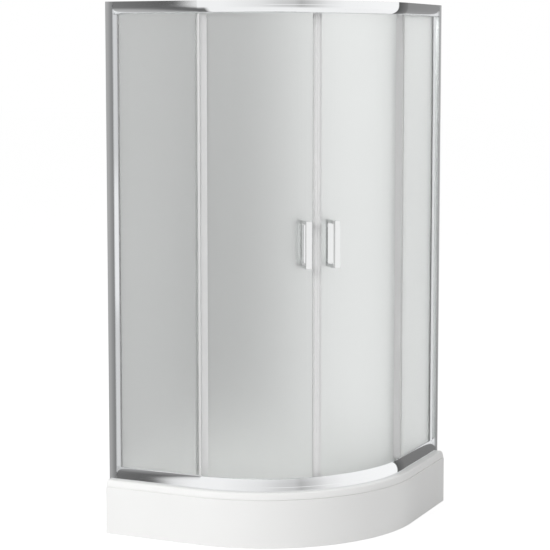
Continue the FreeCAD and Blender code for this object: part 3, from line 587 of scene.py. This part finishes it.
# Where the rim's outline runs: behind the apron's face, and under the tray's top.
rim_profile = [(1 * mm, skirt), (4.5 * mm, 9 * mm), (6.5 * mm, 3 * mm), (11 * mm, 0)]
skirt_inside = 10 * mm
basin_depth = 56 * mm
basin_draft = 14 * mm
basin_rim = 80 * mm
basin_wall_gap = 50 * mm
basin_corner = 60 * mm
floor_thickness = 9 * mm
floor_fall = 4 * mm
fall_radius = 300 * mm
hole_radius = 45 * mm
floor_shares = (0.2, 0.3, 0.4, 0.5, 1.0)
rim_slab = 6 * mm
tray_wall = 5 * mm
lip_round = 4.7 * mm
floor_round = 7 * mm
nose_round = 1.6 * mm
waste_low, waste_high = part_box("waste_flange")
waste = (waste_low + waste_high) / 2
recess_gap = 0.3 * mm
recess_radius = (waste_high.x - waste_low.x) / 2 + recess_gap
basin_floor = tray_top - basin_depth
print("waste at", round(waste.x, 3), round(waste.y, 3), "and basin floor at", round(basin_floor, 3))


# %% Rings of the basin and its floor
def basin_ring(bm, depth, growth):
    """The basin's outline at a depth under the rim; growth draws the outside of its walls."""
    drawn_in = basin_draft * depth / basin_depth
    return quadrant_ring(
        bm, basin_rim - growth + drawn_in, basin_wall_gap - growth + drawn_in,
        basin_corner - drawn_in + growth, tray_top - depth)


def settle(vert):
    """Lower a point of the floor to the fall towards the waste."""
    away = (vert.co - waste).to_2d().length
    share = (away - hole_radius) / (fall_radius - hole_radius)
    vert.co.z = basin_floor - floor_fall * (1 - min(max(share, 0), 1))


def ring_to_waste(bm, ring, share, radius):
    """The next ring of the floor, nearer by a share to a circle about the waste."""
    out = bmesh.ops.extrude_edge_only(bm, edges=ring)["geom"]
    for vert in verts_of(out):
        away = (vert.co - waste).to_2d()
        place = away + share * (away.normalized() * radius - away)
        vert.co.xy = waste.to_2d() + place
        settle(vert)
    return edges_of(out)


# %% The tray
bm = bmesh.new()
rim = []
for inset, depth in rim_profile:
    rim.append(quadrant_ring(bm, inset, 0, wall_corner, tray_top - depth))
    if len(rim) > 1:
        bridge(bm, rim[-2], rim[-1])
skirt_foot, nose, ledge = rim[0], rim[2], rim[3]
ring = lip = bridge(bm, ledge, basin_ring(bm, 0, 0))
ring = floor_edge = bridge(bm, ring, basin_ring(bm, basin_depth, 0))
for vert in corners_of(floor_edge):
    settle(vert)
for share in floor_shares:
    ring = ring_to_waste(bm, ring, share, recess_radius)
ring = ring_to_waste(bm, ring, 1.0, hole_radius)
ring = pull(bm, ring, (0, 0, floor_fall - floor_thickness))
ring = bridge(bm, ring, basin_ring(bm, basin_depth + floor_thickness, tray_wall))
ring = bridge(bm, ring, basin_ring(bm, rim_slab, tray_wall))
for depth in (rim_slab, skirt):
    ring = bridge(bm, ring, quadrant_ring(bm, skirt_inside, tray_wall, wall_corner, tray_top - depth))
bridge(bm, ring, skirt_foot)
round_over(bm, lip, lip_round, 6)
round_over(bm, floor_edge, floor_round, 6)
round_over(bm, nose, nose_round, 3)
finish_piece(bm, "tray_shell", "tray", acrylic)

# %% [markdown]
# ## Apron
# The apron is a separate sheet that clips under the tray's rim, with a turned-in lip at the top and
# a foot along the floor. It is swept like the rails. Its top front edge steps back a little below the
# rim, and the shadow in that step is the thin grey line between the tray and its panel.

# %% The apron
apron_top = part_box("apron")[1].z
apron_sheet = 4 * mm
seam_gap = 2.6 * mm
seam_depth = 3.4 * mm
apron_lip = 22 * mm
apron_foot = 14 * mm
apron_round = 0.8 * mm
apron_section = [
    (0, 0), (0, apron_top - seam_gap), (seam_depth, apron_top - seam_gap), (seam_depth, apron_top),
    (apron_lip, apron_top), (apron_lip, apron_top - apron_sheet),
    (apron_sheet, apron_top - apron_sheet), (apron_sheet, apron_sheet),
    (apron_foot, apron_sheet), (apron_foot, 0),
]
bm = bmesh.new()
section = draw(bm, lambda inset, z: (wall_x, apron_front + inset, z), apron_section, (1, 0, 0))
sweep_front(bm, section, wall_x, apron_round, 3)
finish_piece(bm, "apron_panel", "apron", acrylic)

# %% [markdown]
# ## Fixed panes
# Each fixed pane is a flat sheet whose edges are arrised: the saw's sharp corners are ground off. A
# box as thick as the glass gets that narrow bevel, and the ground faces take the edge material.

# %% Fixed panes
arris = 0.6 * mm
# A face is ground where less than this share of its normal points through the glass.
through_share = 0.9
for side in ("left", "right"):
    node = "fixed_glass_" + side
    low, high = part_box(node)
    bm = bmesh.new()
    bmesh.ops.create_cube(bm, size=1)
    bmesh.ops.scale(bm, vec=high - low, verts=bm.verts)
    bmesh.ops.translate(bm, vec=(low + high) / 2, verts=bm.verts)
    soften(bm, arris)
    through = 1 if side == "left" else 0
    finish_piece(
        bm, node + "_pane", node, glass, glass_edge,
        lambda face: abs(face.normal[through]) < through_share)

# %% [markdown]
# ## Curved doors
# A door is bent in the oven to the same round as the rails, then drilled for its wheels and handle.
# Its solid has that form and the drilled holes, so a merged copy of it gets the ground edges.

# %% Doors
door_arris = 0.5 * mm


def off_the_round(face):
    """True for a face that doesn't look straight at the round's middle or away from it."""
    outward = (face.calc_center_median() - round_centre).to_2d().normalized()
    return abs(face.normal.to_2d().dot(outward)) < through_share


for side in ("left", "right"):
    node = "door_glass_" + side
    bm = copy_solid(node)
    soften(bm, door_arris)
    finish_piece(bm, node + "_pane", node, glass, glass_edge, off_the_round)

# %% [markdown]
# ## Handles
# A handle is a rectangular loop of cast zinc, one outside and one inside each door. The loop is drawn
# as two rectangles, bridged into a flat frame and pulled to its width. Its corners are rounded for
# the hand, the grip's outer edges most of all, which gives the grip a bright face and darker sides.

# %% Sizes of a handle
handle_angle = 39.7
handle_back = 5 * mm
handle_grip = 10 * mm
handle_leg = 12 * mm
handle_width = 20 * mm
handle_depth = 58 * mm
opening_corner = 4 * mm
outer_corner = 1.5 * mm
grip_round = 3.2 * mm
handle_round = 0.8 * mm
# In radians: an edge that turns by more is a corner of the drawn frame and not part of a rounding.
frame_corner = 1
outer_low, outer_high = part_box("outer_handle_left")
door_inset = 44 * mm
door_outer = corner_radius - door_inset
door_inner = door_outer - glass_thickness
outer_washer = 1 * mm
inner_washer = 1.3 * mm
handle_near = {"outer": door_outer + outer_washer, "inner": door_inner - inner_washer - handle_depth}
print("handle", round((outer_high.z - outer_low.z) / mm), "mm long")


# %% The loop of a handle
def draw_rectangle(bm, low_x, high_x, low_z, high_z):
    """A rectangle on one side of the handle: x leads away from the door."""
    corners = [(low_x, low_z), (high_x, low_z), (high_x, high_z), (low_x, high_z)]
    return draw(bm, lambda x, z: (x, -handle_width / 2, z), corners, (0, 1, 0))


def handle_loop(which):
    """The outer or the inner handle of the left door, at its place."""
    back, front = (handle_back, handle_grip) if which == "outer" else (handle_grip, handle_back)
    near = handle_near[which]
    far = near + handle_depth
    bm = bmesh.new()
    outside = draw_rectangle(bm, near, far, outer_low.z, outer_high.z)
    opening = draw_rectangle(
        bm, near + back, far - front, outer_low.z + handle_leg, outer_high.z - handle_leg)
    faces = bmesh.ops.bridge_loops(bm, edges=outside + opening)["faces"]
    out = bmesh.ops.extrude_face_region(bm, geom=faces)["geom"]
    bmesh.ops.translate(bm, vec=(0, handle_width, 0), verts=verts_of(out))
    bmesh.ops.recalc_face_normals(bm, faces=bm.faces)
    middle_z = (outer_low.z + outer_high.z) / 2
    half_length = (outer_high.z - outer_low.z) / 2
    grip_x = far if which == "outer" else near

    def is_across(edge):
        return abs((edge.verts[0].co - edge.verts[1].co).y) > handle_width / 2

    def in_opening(edge):
        return is_across(edge) and all(
            near < vert.co.x < far and abs(vert.co.z - middle_z) < half_length for vert in edge.verts)

    def is_outside(edge):
        return is_across(edge) and not in_opening(edge)

    def on_grip(edge):
        return not is_across(edge) and all(abs(vert.co.x - grip_x) < 10 * same_place for vert in edge.verts)

    for wanted, radius, segments in (
            (in_opening, opening_corner, 5), (is_outside, outer_corner, 3), (on_grip, grip_round, 6)):
        edges = [edge for edge in bm.edges if wanted(edge) and edge.calc_face_angle() > frame_corner]
        round_over(bm, edges, radius, segments)
    soften(bm, handle_round, 3, 50)
    to_front(bm, handle_angle)
    return bm


# %% Four handles
for which in ("outer", "inner"):
    for side in ("left", "right"):
        bm = handle_loop(which)
        if side == "right":
            reflect(bm, across_diagonal)
        node = which + "_handle_" + side
        finish_piece(bm, node + "_loop", node, handle_metal)

# %% [markdown]
# ## Magnet seals
# Where the doors meet, each carries an extruded seal: a clear clip that grips the glass, and a bar
# in milky PVC that holds a magnet strip. The outline is drawn once in plan, along the door's round,
# and pulled up the door's height, as the die draws the real one out in one length.

# %% Milky PVC
milky_pvc, tree, shader = start_material(
    "PVC, soft and milky, extruded", "#FEFEFE", Roughness=0.3, IOR=1.53, Transmission_Weight=0.12)
# Chalk in the PVC stops most of the light, so the bar is a pale line between the frosted doors.
vary_roughness(tree, shader, pattern(tree, 1.5 * mm, (1, 1, 0.02)), 0.24, 0.38)
print("made", milky_pvc.name)

# %% Outline of a magnet seal
seal_grip = 7 * mm
seal_wall = 1.2 * mm
magnet_width = 8 * mm
magnet_proud = 1.4 * mm
meeting_gap = 0.2 * mm
seal_low, seal_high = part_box("magnet_seal_left")
meeting = math.radians(45) - meeting_gap / door_outer
lead = math.radians(45) - (magnet_width + meeting_gap) / door_outer
slack = 0.1 * mm / door_outer


def on_round(off_glass, along):
    """A plan point at a distance outside the door's outer face, and along it past its leading edge."""
    turn = lead + along * (meeting - lead) / magnet_width
    radius = door_outer + off_glass
    return (round_x + radius * math.sin(turn), round_y - radius * math.cos(turn), seal_low.z)


def is_magnet_bar(face):
    """True for a face that lies past the glass's edge."""
    away = (face.calc_center_median() - round_centre).to_2d()
    turn = abs(math.atan2(away.x, -away.y) - math.radians(45))
    return turn < math.radians(45) - lead + slack


inner_face = -glass_thickness
seal_outline = [
    (seal_wall, -seal_grip), (seal_wall, 0), (magnet_proud, 0), (magnet_proud, magnet_width),
    (inner_face - magnet_proud, magnet_width), (inner_face - magnet_proud, 0),
    (inner_face - seal_wall, 0), (inner_face - seal_wall, -seal_grip),
    (inner_face, -seal_grip), (inner_face, 0), (0, 0), (0, -seal_grip),
]

# %% Both magnet seals
for side in ("left", "right"):
    bm = bmesh.new()
    outline = draw(bm, on_round, seal_outline, (0, 0, 1))
    stand_up(bm, outline, seal_low.z, seal_high.z)
    if side == "right":
        reflect(bm, across_diagonal)
    node = "magnet_seal_" + side
    finish_piece(bm, node + "_strip", node, clear_pvc, milky_pvc, is_magnet_bar)

# %% [markdown]
# ## Wheels
# Each door hangs on two wheels that run on the rail's lip, and is steadied by two more below. A wheel
# is a nylon tyre on a steel bearing. Its profile, half of a section through the axle, is drawn and
# spun a full turn.

# %% Places of the wheels
wheel_middle = corner_radius - lip_middle
places_on_front = {}
for node in ("lower_trail", "lower_lead", "upper_trail", "upper_lead"):
    low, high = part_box("wheel_" + node + "_left")
    middle = (low + high) / 2
    away = (middle - round_centre).to_2d()
    places_on_front[node] = (middle.z, math.degrees(math.atan2(away.x, -away.y)))
wheel_radius = (high.z - low.z) / 2
print("wheels of radius", round(wheel_radius / mm, 1), "mm at", list(places_on_front))

# %% Half section of a wheel
bearing_radius = 6 * mm
bearing_face = 2.5 * mm
axle_radius = 3.05 * mm
wheel_half = 5.5 * mm
wheel_edge = 0.6 * mm
groove_inside = 7.2 * mm
groove_outside = 9.2 * mm
groove_slope = 0.2 * mm
groove_depth = 0.5 * mm
groove_floor = wheel_half - groove_depth
wheel_steps = 48
wheel_profile = [
    (-wheel_half, axle_radius), (-wheel_half, wheel_radius - wheel_edge),
    (-wheel_half + wheel_edge, wheel_radius), (wheel_half - wheel_edge, wheel_radius),
    (wheel_half, wheel_radius - wheel_edge), (wheel_half, groove_outside),
    (groove_floor, groove_outside - groove_slope), (groove_floor, groove_inside + groove_slope),
    (wheel_half, groove_inside), (wheel_half, bearing_radius),
    (bearing_face, bearing_radius), (bearing_face, axle_radius),
]


def spin_round(bm, profile, steps):
    """Spin a closed half section about the X axis."""
    outline = draw(bm, lambda along, radius: (along, 0, radius), profile, (1, 0, 0))
    bmesh.ops.spin(
        bm, geom=corners_of(outline) + outline, cent=(0, 0, 0), axis=(1, 0, 0), angle=math.tau, steps=steps,
        use_merge=True)
    bmesh.ops.remove_doubles(bm, verts=bm.verts, dist=same_place)


# %% Eight wheels
for place, (height, angle) in places_on_front.items():
    for side in ("left", "right"):
        bm = bmesh.new()
        spin_round(bm, wheel_profile, wheel_steps)
        steel = {
            face for face in bm.faces
            if all(math.hypot(*vert.co.yz) < bearing_radius + 10 * same_place for vert in face.verts)}
        bmesh.ops.translate(bm, vec=(wheel_middle, 0, height), verts=bm.verts)
        to_front(bm, angle)
        if side == "right":
            reflect(bm, across_diagonal)
        node = "wheel_" + place + "_" + side
        finish_piece(
            bm, node + "_turned", node, nylon, bearing_steel, lambda face: face in steel)

# %% [markdown]
# ## Clamp knobs
# Inside the cabin each wheel's bolt is held by a moulded knob with a fluted grip, so that it can be
# turned by hand, and by a small nut. A disc's rim is pressed in at the flutes, pulled to the knob's
# depth, given a shallow dish, and copied to its four places on the door.

# %% A knob and its nut
knob_radius = 12 * mm
knob_length = 9 * mm
knob_crown = 1.2 * mm
dish_rim = 2.2 * mm
dish_slope = 0.8 * mm
dish_depth = 0.7 * mm
nut_length = 3 * mm
nut_corner = 5 * mm
nut_round = 0.4 * mm
flutes = 12
flute_depth = 0.9 * mm
knob_gap = 0.3 * mm
knob_seat = door_inner - knob_gap


def build_knob():
    """A knob on the Z axis, from the glass at z = 0 towards the cabin."""
    bm = bmesh.new()
    rim = bmesh.ops.create_circle(bm, cap_ends=True, radius=knob_radius, segments=flutes * 6)["verts"]
    for vert in rim:
        turn = math.atan2(vert.co.y, vert.co.x)
        press = flute_depth * max(0, math.cos(flutes * turn)) ** 2
        vert.co.xy = vert.co.xy * (1 - press / knob_radius)
    pulled = bmesh.ops.extrude_face_region(bm, geom=bm.faces[:])["geom"]
    bmesh.ops.translate(bm, vec=(0, 0, knob_length), verts=verts_of(pulled))
    cap = [item for item in pulled if isinstance(item, bmesh.types.BMFace)]
    bmesh.ops.recalc_face_normals(bm, faces=bm.faces)
    round_over(bm, list(cap[0].edges), knob_crown, 3)
    # The cap is the widest of the faces at the very top.
    top = max(bm.faces, key=lambda face: (round(face.calc_center_median().z, 6), face.calc_area()))
    bmesh.ops.inset_region(bm, faces=[top], thickness=dish_rim, depth=0)
    bmesh.ops.inset_region(bm, faces=[top], thickness=dish_slope, depth=-dish_depth)
    nut = bmesh.ops.create_cone(
        bm, cap_ends=True, segments=6, radius1=nut_corner, radius2=nut_corner,
        depth=nut_length + dish_depth)
    nut_middle = knob_length + (nut_length - dish_depth) / 2
    bmesh.ops.translate(bm, vec=(0, 0, nut_middle), verts=nut["verts"])
    nut_edges = dict.fromkeys(edge for vert in nut["verts"] for edge in vert.link_edges)
    round_over(bm, list(nut_edges), nut_round, 2)
    return bm


# %% Copies at several places
def repeat(one, places):
    """Copy a finished bmesh to several places in one piece."""
    mesh = bpy.data.meshes.new("pattern piece")
    one.to_mesh(mesh)
    one.free()
    whole = bmesh.new()
    for place in places:
        before = set(whole.verts)
        whole.from_mesh(mesh)
        fresh = [vert for vert in whole.verts if vert not in before]
        bmesh.ops.transform(whole, matrix=place, verts=fresh)
    bpy.data.meshes.remove(mesh)
    return whole


def inward_at(radius, height, angle):
    """A place on the front whose Z axis looks in to the cabin."""
    return (
        Matrix.Translation(round_centre) @ Matrix.Rotation(math.radians(angle - 90), 4, "Z")
        @ Matrix.Translation((radius, 0, height)) @ Matrix.Rotation(math.radians(-90), 4, "Y"))


# %% Knobs of both doors
for side in ("left", "right"):
    places = [inward_at(knob_seat, height, angle) for height, angle in places_on_front.values()]
    bm = repeat(build_knob(), places)
    if side == "right":
        reflect(bm, across_diagonal)
    node = "roller_knobs_" + side
    finish_piece(bm, node + "_fluted", node, abs_white)

# %% [markdown]
# ## Small pieces from their solids
# Clips, stops, screws, bushes, gaskets, the uprights, the support frame and the waste are plain turned,
# cut or extruded forms, and their solids already have them. What a solid lacks is the softened edge
# that every real piece has. So each one gets a copy of its solid, merged and cleaned, whose sharp
# edges are bevelled by a radius that suits its making: small on an extrusion, larger on a moulding.

# %% Softened copies
small_pieces = [
    ("apron_clips", abs_white, "plastic_moulded", 0.4),
    ("support_frame", galvanised, "steel_galvanised", 0.8),
    ("frame_pads", rubber, "rubber_grey", 1.0),
    ("foot_pads", rubber, "rubber_grey", 1.0),
    ("foot_studs", screw_steel, "steel_bright", 0.6),
    ("foot_nuts", screw_steel, "steel_bright", 0.5),
    ("waste_gasket", rubber, "rubber_grey", 0.4),
    ("waste_body", pipe_plastic, "plastic_moulded", 0.6),
    ("waste_cup", pipe_plastic, "plastic_moulded", 0.4),
    ("channel_gaskets", clear_pvc, "pvc_clear", 0.2),
    ("door_stops", abs_white, "plastic_moulded", 0.6),
    ("rail_plugs", abs_white, "plastic_moulded", 0.4),
    ("rail_screws", screw_steel, "steel_bright", 0.3),
    ("profile_screws", screw_steel, "steel_bright", 0.3),
    ("screw_caps", abs_white, "plastic_moulded", 0.6),
    ("waste_flange", waste_metal, "brass_chromed", 0.3),
    ("waste_cover", waste_metal, "brass_chromed", 0.3),
]
sided = [
    ("wall_profile", upright_metal, "aluminium_chromed", 0.3),
    ("glass_profile", upright_metal, "aluminium_chromed", 0.2),
    ("profile_gasket", clear_pvc, "pvc_clear", 0.2),
    ("fixed_seal", clear_pvc, "pvc_clear", 0.3),
    ("roller_bolts", screw_steel, "steel_bright", 0.4),
    ("roller_bushes", abs_white, "plastic_moulded", 0.3),
    ("handle_bushes", clear_pvc, "pvc_clear", 0.2),
    ("handle_screws", screw_steel, "steel_bright", 0.3),
    ("edge_seal", clear_pvc, "pvc_clear", 0.3),
]
for node, material, slot, radius in sided:
    for side in ("left", "right"):
        small_pieces.append((node + "_" + side, material, slot, radius))
for node, material, slot, radius in small_pieces:
    bm = copy_solid(node)
    soften(bm, radius * mm)
    finish_piece(bm, node + "_finished", node, material)

# %% [markdown]
# ## Camera
# The camera stands where the photograph's did: at a standing person's eye height, 24 degrees to the
# right of square on to the left pane, and looking slightly down. Its lens is so long that the
# uprights stay nearly parallel. The place comes from a fit of the model's edges to the photograph's.

# %% Camera
image_width = 550
focal_pixels = 1760.7
looks_down = 5.852
turned_left = 24.48
camera_data = bpy.data.cameras.new("camera")
camera_data.sensor_width = 36
camera_data.lens = focal_pixels / image_width * camera_data.sensor_width
camera_data.shift_y = -0.07
camera = bpy.data.objects.new("camera", camera_data)
camera.location = (2.5767, -5.7116, 1.6652)
camera.rotation_euler = (math.radians(90 - looks_down), 0, math.radians(turned_left))
bpy.context.scene.collection.objects.link(camera)
bpy.context.scene.camera = camera
print("lens", round(camera_data.lens, 1), "mm")

# %% [markdown]
# ## White studio with flags
# A product studio is white all round, with a few grey and black boards, called flags, that stand where
# polished metal will mirror them. Without flags chrome on white looks like white plastic. Here the
# world plays both parts: rays from the camera or through glass find plain white, rays off polished
# surfaces find white with flags, and the rays that light the object find an even, lower level. The
# flags are listed by the way that a polished face looks. Their greys were measured: read along the
# photograph's two rails, grouped by the way the rail looks there, then thinned and changed.

# %% Flags
# The way a polished face looks, in degrees from the front, -Y, towards +X, and the grey it mirrors.
flags = [
    (-53.5, 0.9), (-53, 0.04), (-47.5, 0.04), (-47, 0.8), (-30, 0.56), (-17, 0.46), (-6, 0.42),
    (-3.4, 0.24), (-2.5, 0.17), (-1.95, 0.12), (-1.75, 0.14), (-1.45, 0.78), (-1.1, 0.93), (8, 0.93),
    (14, 0.88), (22, 0.81), (30, 0.65), (35, 0.59), (37.6, 0.47), (43, 0.64), (48, 0.82), (55, 0.93),
    (70, 0.97), (83.4, 0.98), (84, 0.1), (86, 0.13), (91, 0.2), (93, 0.3), (98, 0.6), (110, 0.9),
]
# The same for the rays that a rounded edge sends steeply down.
steep_flags = [
    (-50, 0.9), (-6, 0.6), (-4.5, 0.53), (-3, 0.4), (-2.5, 0.25), (-2.2, 0.15), (1.2, 0.15), (2.2, 0.62),
    (3.2, 0.93), (83.2, 0.93), (84, 0.13), (86, 0.2), (90, 0.31), (94, 0.42), (98, 0.64), (110, 0.9),
]
print(len(flags), "and", len(steep_flags), "stops of grey")


# %% Which rays, and what grey
def seen_directly(tree):
    """1 for rays from the camera, off metal or through glass, and 0 for rays that light the object."""
    path = add_node(tree, "ShaderNodeLightPath").outputs
    mirrored = {0: path["Is Camera Ray"], 1: path["Is Glossy Ray"]}
    either = add_node(tree, "ShaderNodeMath", mirrored, operation="MAXIMUM").outputs[0]
    inputs = {0: either, 1: path["Is Transmission Ray"]}
    return add_node(tree, "ShaderNodeMath", inputs, operation="MAXIMUM").outputs[0]


def grey_at(tree, place, stops):
    """A line through the stops, (place, grey): each stretch adds its own rise or fall."""
    total = stops[0][1]
    for (start, low), (end, high) in zip(stops, stops[1:]):
        inputs = {"Value": place, "From Min": start, "From Max": end, "To Min": 0, "To Max": high - low}
        part = add_node(tree, "ShaderNodeMapRange", inputs).outputs["Result"]
        total = add_node(tree, "ShaderNodeMath", {0: total, 1: part}, operation="ADD").outputs[0]
    return total


# %% The way that a mirroring face looks
scene = bpy.context.scene
scene.view_settings.view_transform = "Standard"
world = bpy.data.worlds.new("white studio")
world.use_nodes = True
scene.world = world
tree = world.node_tree
direction = add_node(tree, "ShaderNodeTexCoord").outputs["Generated"]
# A mirror faces half way between the ray that it sends out and the one that comes in. Seen from the
# photo's side, the sum of the ray and the way to the viewer is the way the polished face looks.
cabin_middle = Vector((0, 0, 1))
to_viewer = (camera.location - cabin_middle).normalized()
facing = add_node(tree, "ShaderNodeVectorMath", {0: direction, 1: to_viewer}, operation="ADD").outputs[0]
axes = add_node(tree, "ShaderNodeSeparateXYZ", {"Vector": facing}).outputs
to_front_axis = add_node(tree, "ShaderNodeMath", {0: axes["Y"], 1: -1}, operation="MULTIPLY").outputs[0]
turn = add_node(tree, "ShaderNodeMath", {0: axes["X"], 1: to_front_axis}, operation="ARCTAN2").outputs[0]
degrees = add_node(tree, "ShaderNodeMath", {0: turn}, operation="DEGREES").outputs[0]
climb = add_node(tree, "ShaderNodeSeparateXYZ", {"Vector": direction}).outputs["Z"]

# %% The world's light
# The ceiling lightens the flags where the rays go steeply up, and a gap in them lies at the height
# where the handles find it.
ambient = 0.62
white_card = 0.93
ceiling = grey_at(tree, climb, [(0.6, 0), (1, 0.2)])
inputs = {
    0: grey_at(tree, climb, [(-0.15, 0), (-0.135, 1), (-0.08, 1), (-0.06, 0)]),
    1: grey_at(tree, degrees, [(22, 0), (26, 1), (60, 1), (64, 0)])}
gap = add_node(tree, "ShaderNodeMath", inputs, operation="MULTIPLY").outputs[0]
lightened = add_node(tree, "ShaderNodeMath", {0: ceiling, 1: gap}, operation="MAXIMUM").outputs[0]
steepness = grey_at(tree, climb, [(-0.7, 1), (-0.4, 0)])
greys = add_node(tree, "ShaderNodeMapRange", {
    "Value": steepness, "To Min": grey_at(tree, degrees, flags),
    "To Max": grey_at(tree, degrees, steep_flags)}).outputs["Result"]
inputs = {"Value": lightened, "To Min": greys, "To Max": white_card}
flagged = add_node(tree, "ShaderNodeMapRange", inputs).outputs["Result"]
inputs = {"Value": seen_directly(tree), "To Min": ambient, "To Max": 1.0}
level = add_node(tree, "ShaderNodeMapRange", inputs).outputs["Result"]
path = add_node(tree, "ShaderNodeLightPath").outputs
background = tree.nodes["Background"]
background.inputs["Color"].default_value = linear("#FFFFFF")
inputs = {"Factor": path["Is Glossy Ray"], "A": level, "B": flagged}
add_node(tree, "ShaderNodeMix", inputs, into=background.inputs["Strength"])
print("the world lights the object at", ambient)

# %% [markdown]
# ## Floor
# A pale sheet of studio paper. The camera sees it almost as white as the world behind it, and it keeps
# the soft shadow that sets the cabin down. For the light that it throws on the cabin it is a plain
# matt grey, so that the tray's underside and the rails aren't lit up from below.

# %% The floor's paper
paper_glow = 0.78
floor_material = bpy.data.materials.new("studio floor")
floor_material.use_nodes = True
tree = floor_material.node_tree
tree.nodes.remove(tree.nodes["Principled BSDF"])
lit = add_node(tree, "ShaderNodeBsdfDiffuse", {"Color": linear("#E6E6E6")})
faint = add_node(tree, "ShaderNodeBsdfDiffuse", {"Color": linear("#A0A0A0")})
glow = add_node(tree, "ShaderNodeEmission", {"Strength": paper_glow})
white = add_node(tree, "ShaderNodeAddShader", {0: faint.outputs[0], 1: glow.outputs[0]})
inputs = {0: seen_directly(tree), 1: lit.outputs[0], 2: white.outputs[0]}
add_node(tree, "ShaderNodeMixShader", inputs, into=tree.nodes["Material Output"].inputs["Surface"])
print("made", floor_material.name)

# %% The floor
floor_reach = 40
bm = bmesh.new()
bmesh.ops.create_grid(bm, x_segments=1, y_segments=1, size=floor_reach)
floor = make_object("floor", bm, floor_material)
floor.visible_glossy = False

# %% [markdown]
# ## Lamps
# One large softbox in front, high and to the left, gives the apron and the panes their slow fall from
# light to grey towards the right. A second one overhead lifts the rim, the rails' tops and the basin.

# %% Lamps
def softbox(name, place, target, size, power):
    """A square lamp that faces its target."""
    data = bpy.data.lights.new(name, "AREA")
    data.size = size
    data.energy = power
    lamp = bpy.data.objects.new(name, data)
    lamp.location = place
    direction = Vector(target) - Vector(place)
    lamp.rotation_euler = direction.to_track_quat("-Z", "Y").to_euler()
    # Polished metal would mirror the lamp as a hard white streak, so only the light of it falls there.
    lamp.visible_glossy = False
    scene.collection.objects.link(lamp)
    print(name, "lamp of", power, "W")


softbox("key", place=(-1.9, -5.4, 3.6), target=(0, 0, 0.9), size=2.4, power=160)
softbox("top", place=(0, 0, 4.5), target=(0, 0, 0), size=2.5, power=28)

# %% [markdown]
# ## Grey boards behind the glass
# The walls that such a cabin is fitted to would show through the frosted glass as a soft grey. Two
# boards stand in their place, the left one dark and the back one rising to white. Only rays that come
# through glass find them, so they never hide the cabin from any side.

# %% A board that only glass shows
board_height = 2.6


def stage_board(name, start, end, axis, greys, rises):
    """An upright board from one plan point to another, with a grey that changes along it and upwards."""
    material = bpy.data.materials.new(name)
    material.use_nodes = True
    tree = material.node_tree
    tree.nodes.remove(tree.nodes["Principled BSDF"])
    place = add_node(tree, "ShaderNodeTexCoord").outputs["Object"]
    along = add_node(tree, "ShaderNodeSeparateXYZ", {"Vector": place}).outputs[axis]
    height = add_node(tree, "ShaderNodeSeparateXYZ", {"Vector": place}).outputs["Z"]
    factors = {0: grey_at(tree, height, rises), 1: grey_at(tree, along, greys)}
    grey = add_node(tree, "ShaderNodeMath", factors, operation="MULTIPLY")
    surface = tree.nodes["Material Output"].inputs["Surface"]
    add_node(tree, "ShaderNodeEmission", {"Strength": grey.outputs[0]}, into=surface)
    bm = bmesh.new()
    ends = [bm.verts.new((x, y, tray_top)) for x, y in (start, end)]
    pull(bm, [bm.edges.new(ends)], (0, 0, board_height))
    board = make_object(name, bm, material)
    board.visible_camera = False
    board.visible_diffuse = False
    board.visible_glossy = False
    board.visible_shadow = False
    print(name, "from", start, "to", end)


# %% Both boards
board_x = wall_x - 10 * mm
stage_board(
    "board_left", start=(board_x, -0.44), end=(board_x, -board_x), axis="Y",
    greys=[(-0.44, 0.56), (0.1, 0.53), (0.47, 0.33)],
    rises=[(0.15, 1.0), (1.0, 1.0), (1.9, 0.92)])
stage_board(
    "board_back", start=(board_x, -board_x), end=(0.75, -board_x), axis="X",
    greys=[(-0.47, 0.33), (-0.2, 0.64), (0.05, 0.98), (0.4, 1.04), (0.7, 1.04)],
    rises=[(0.15, 0.97), (0.9, 0.97), (1.9, 1.03)])
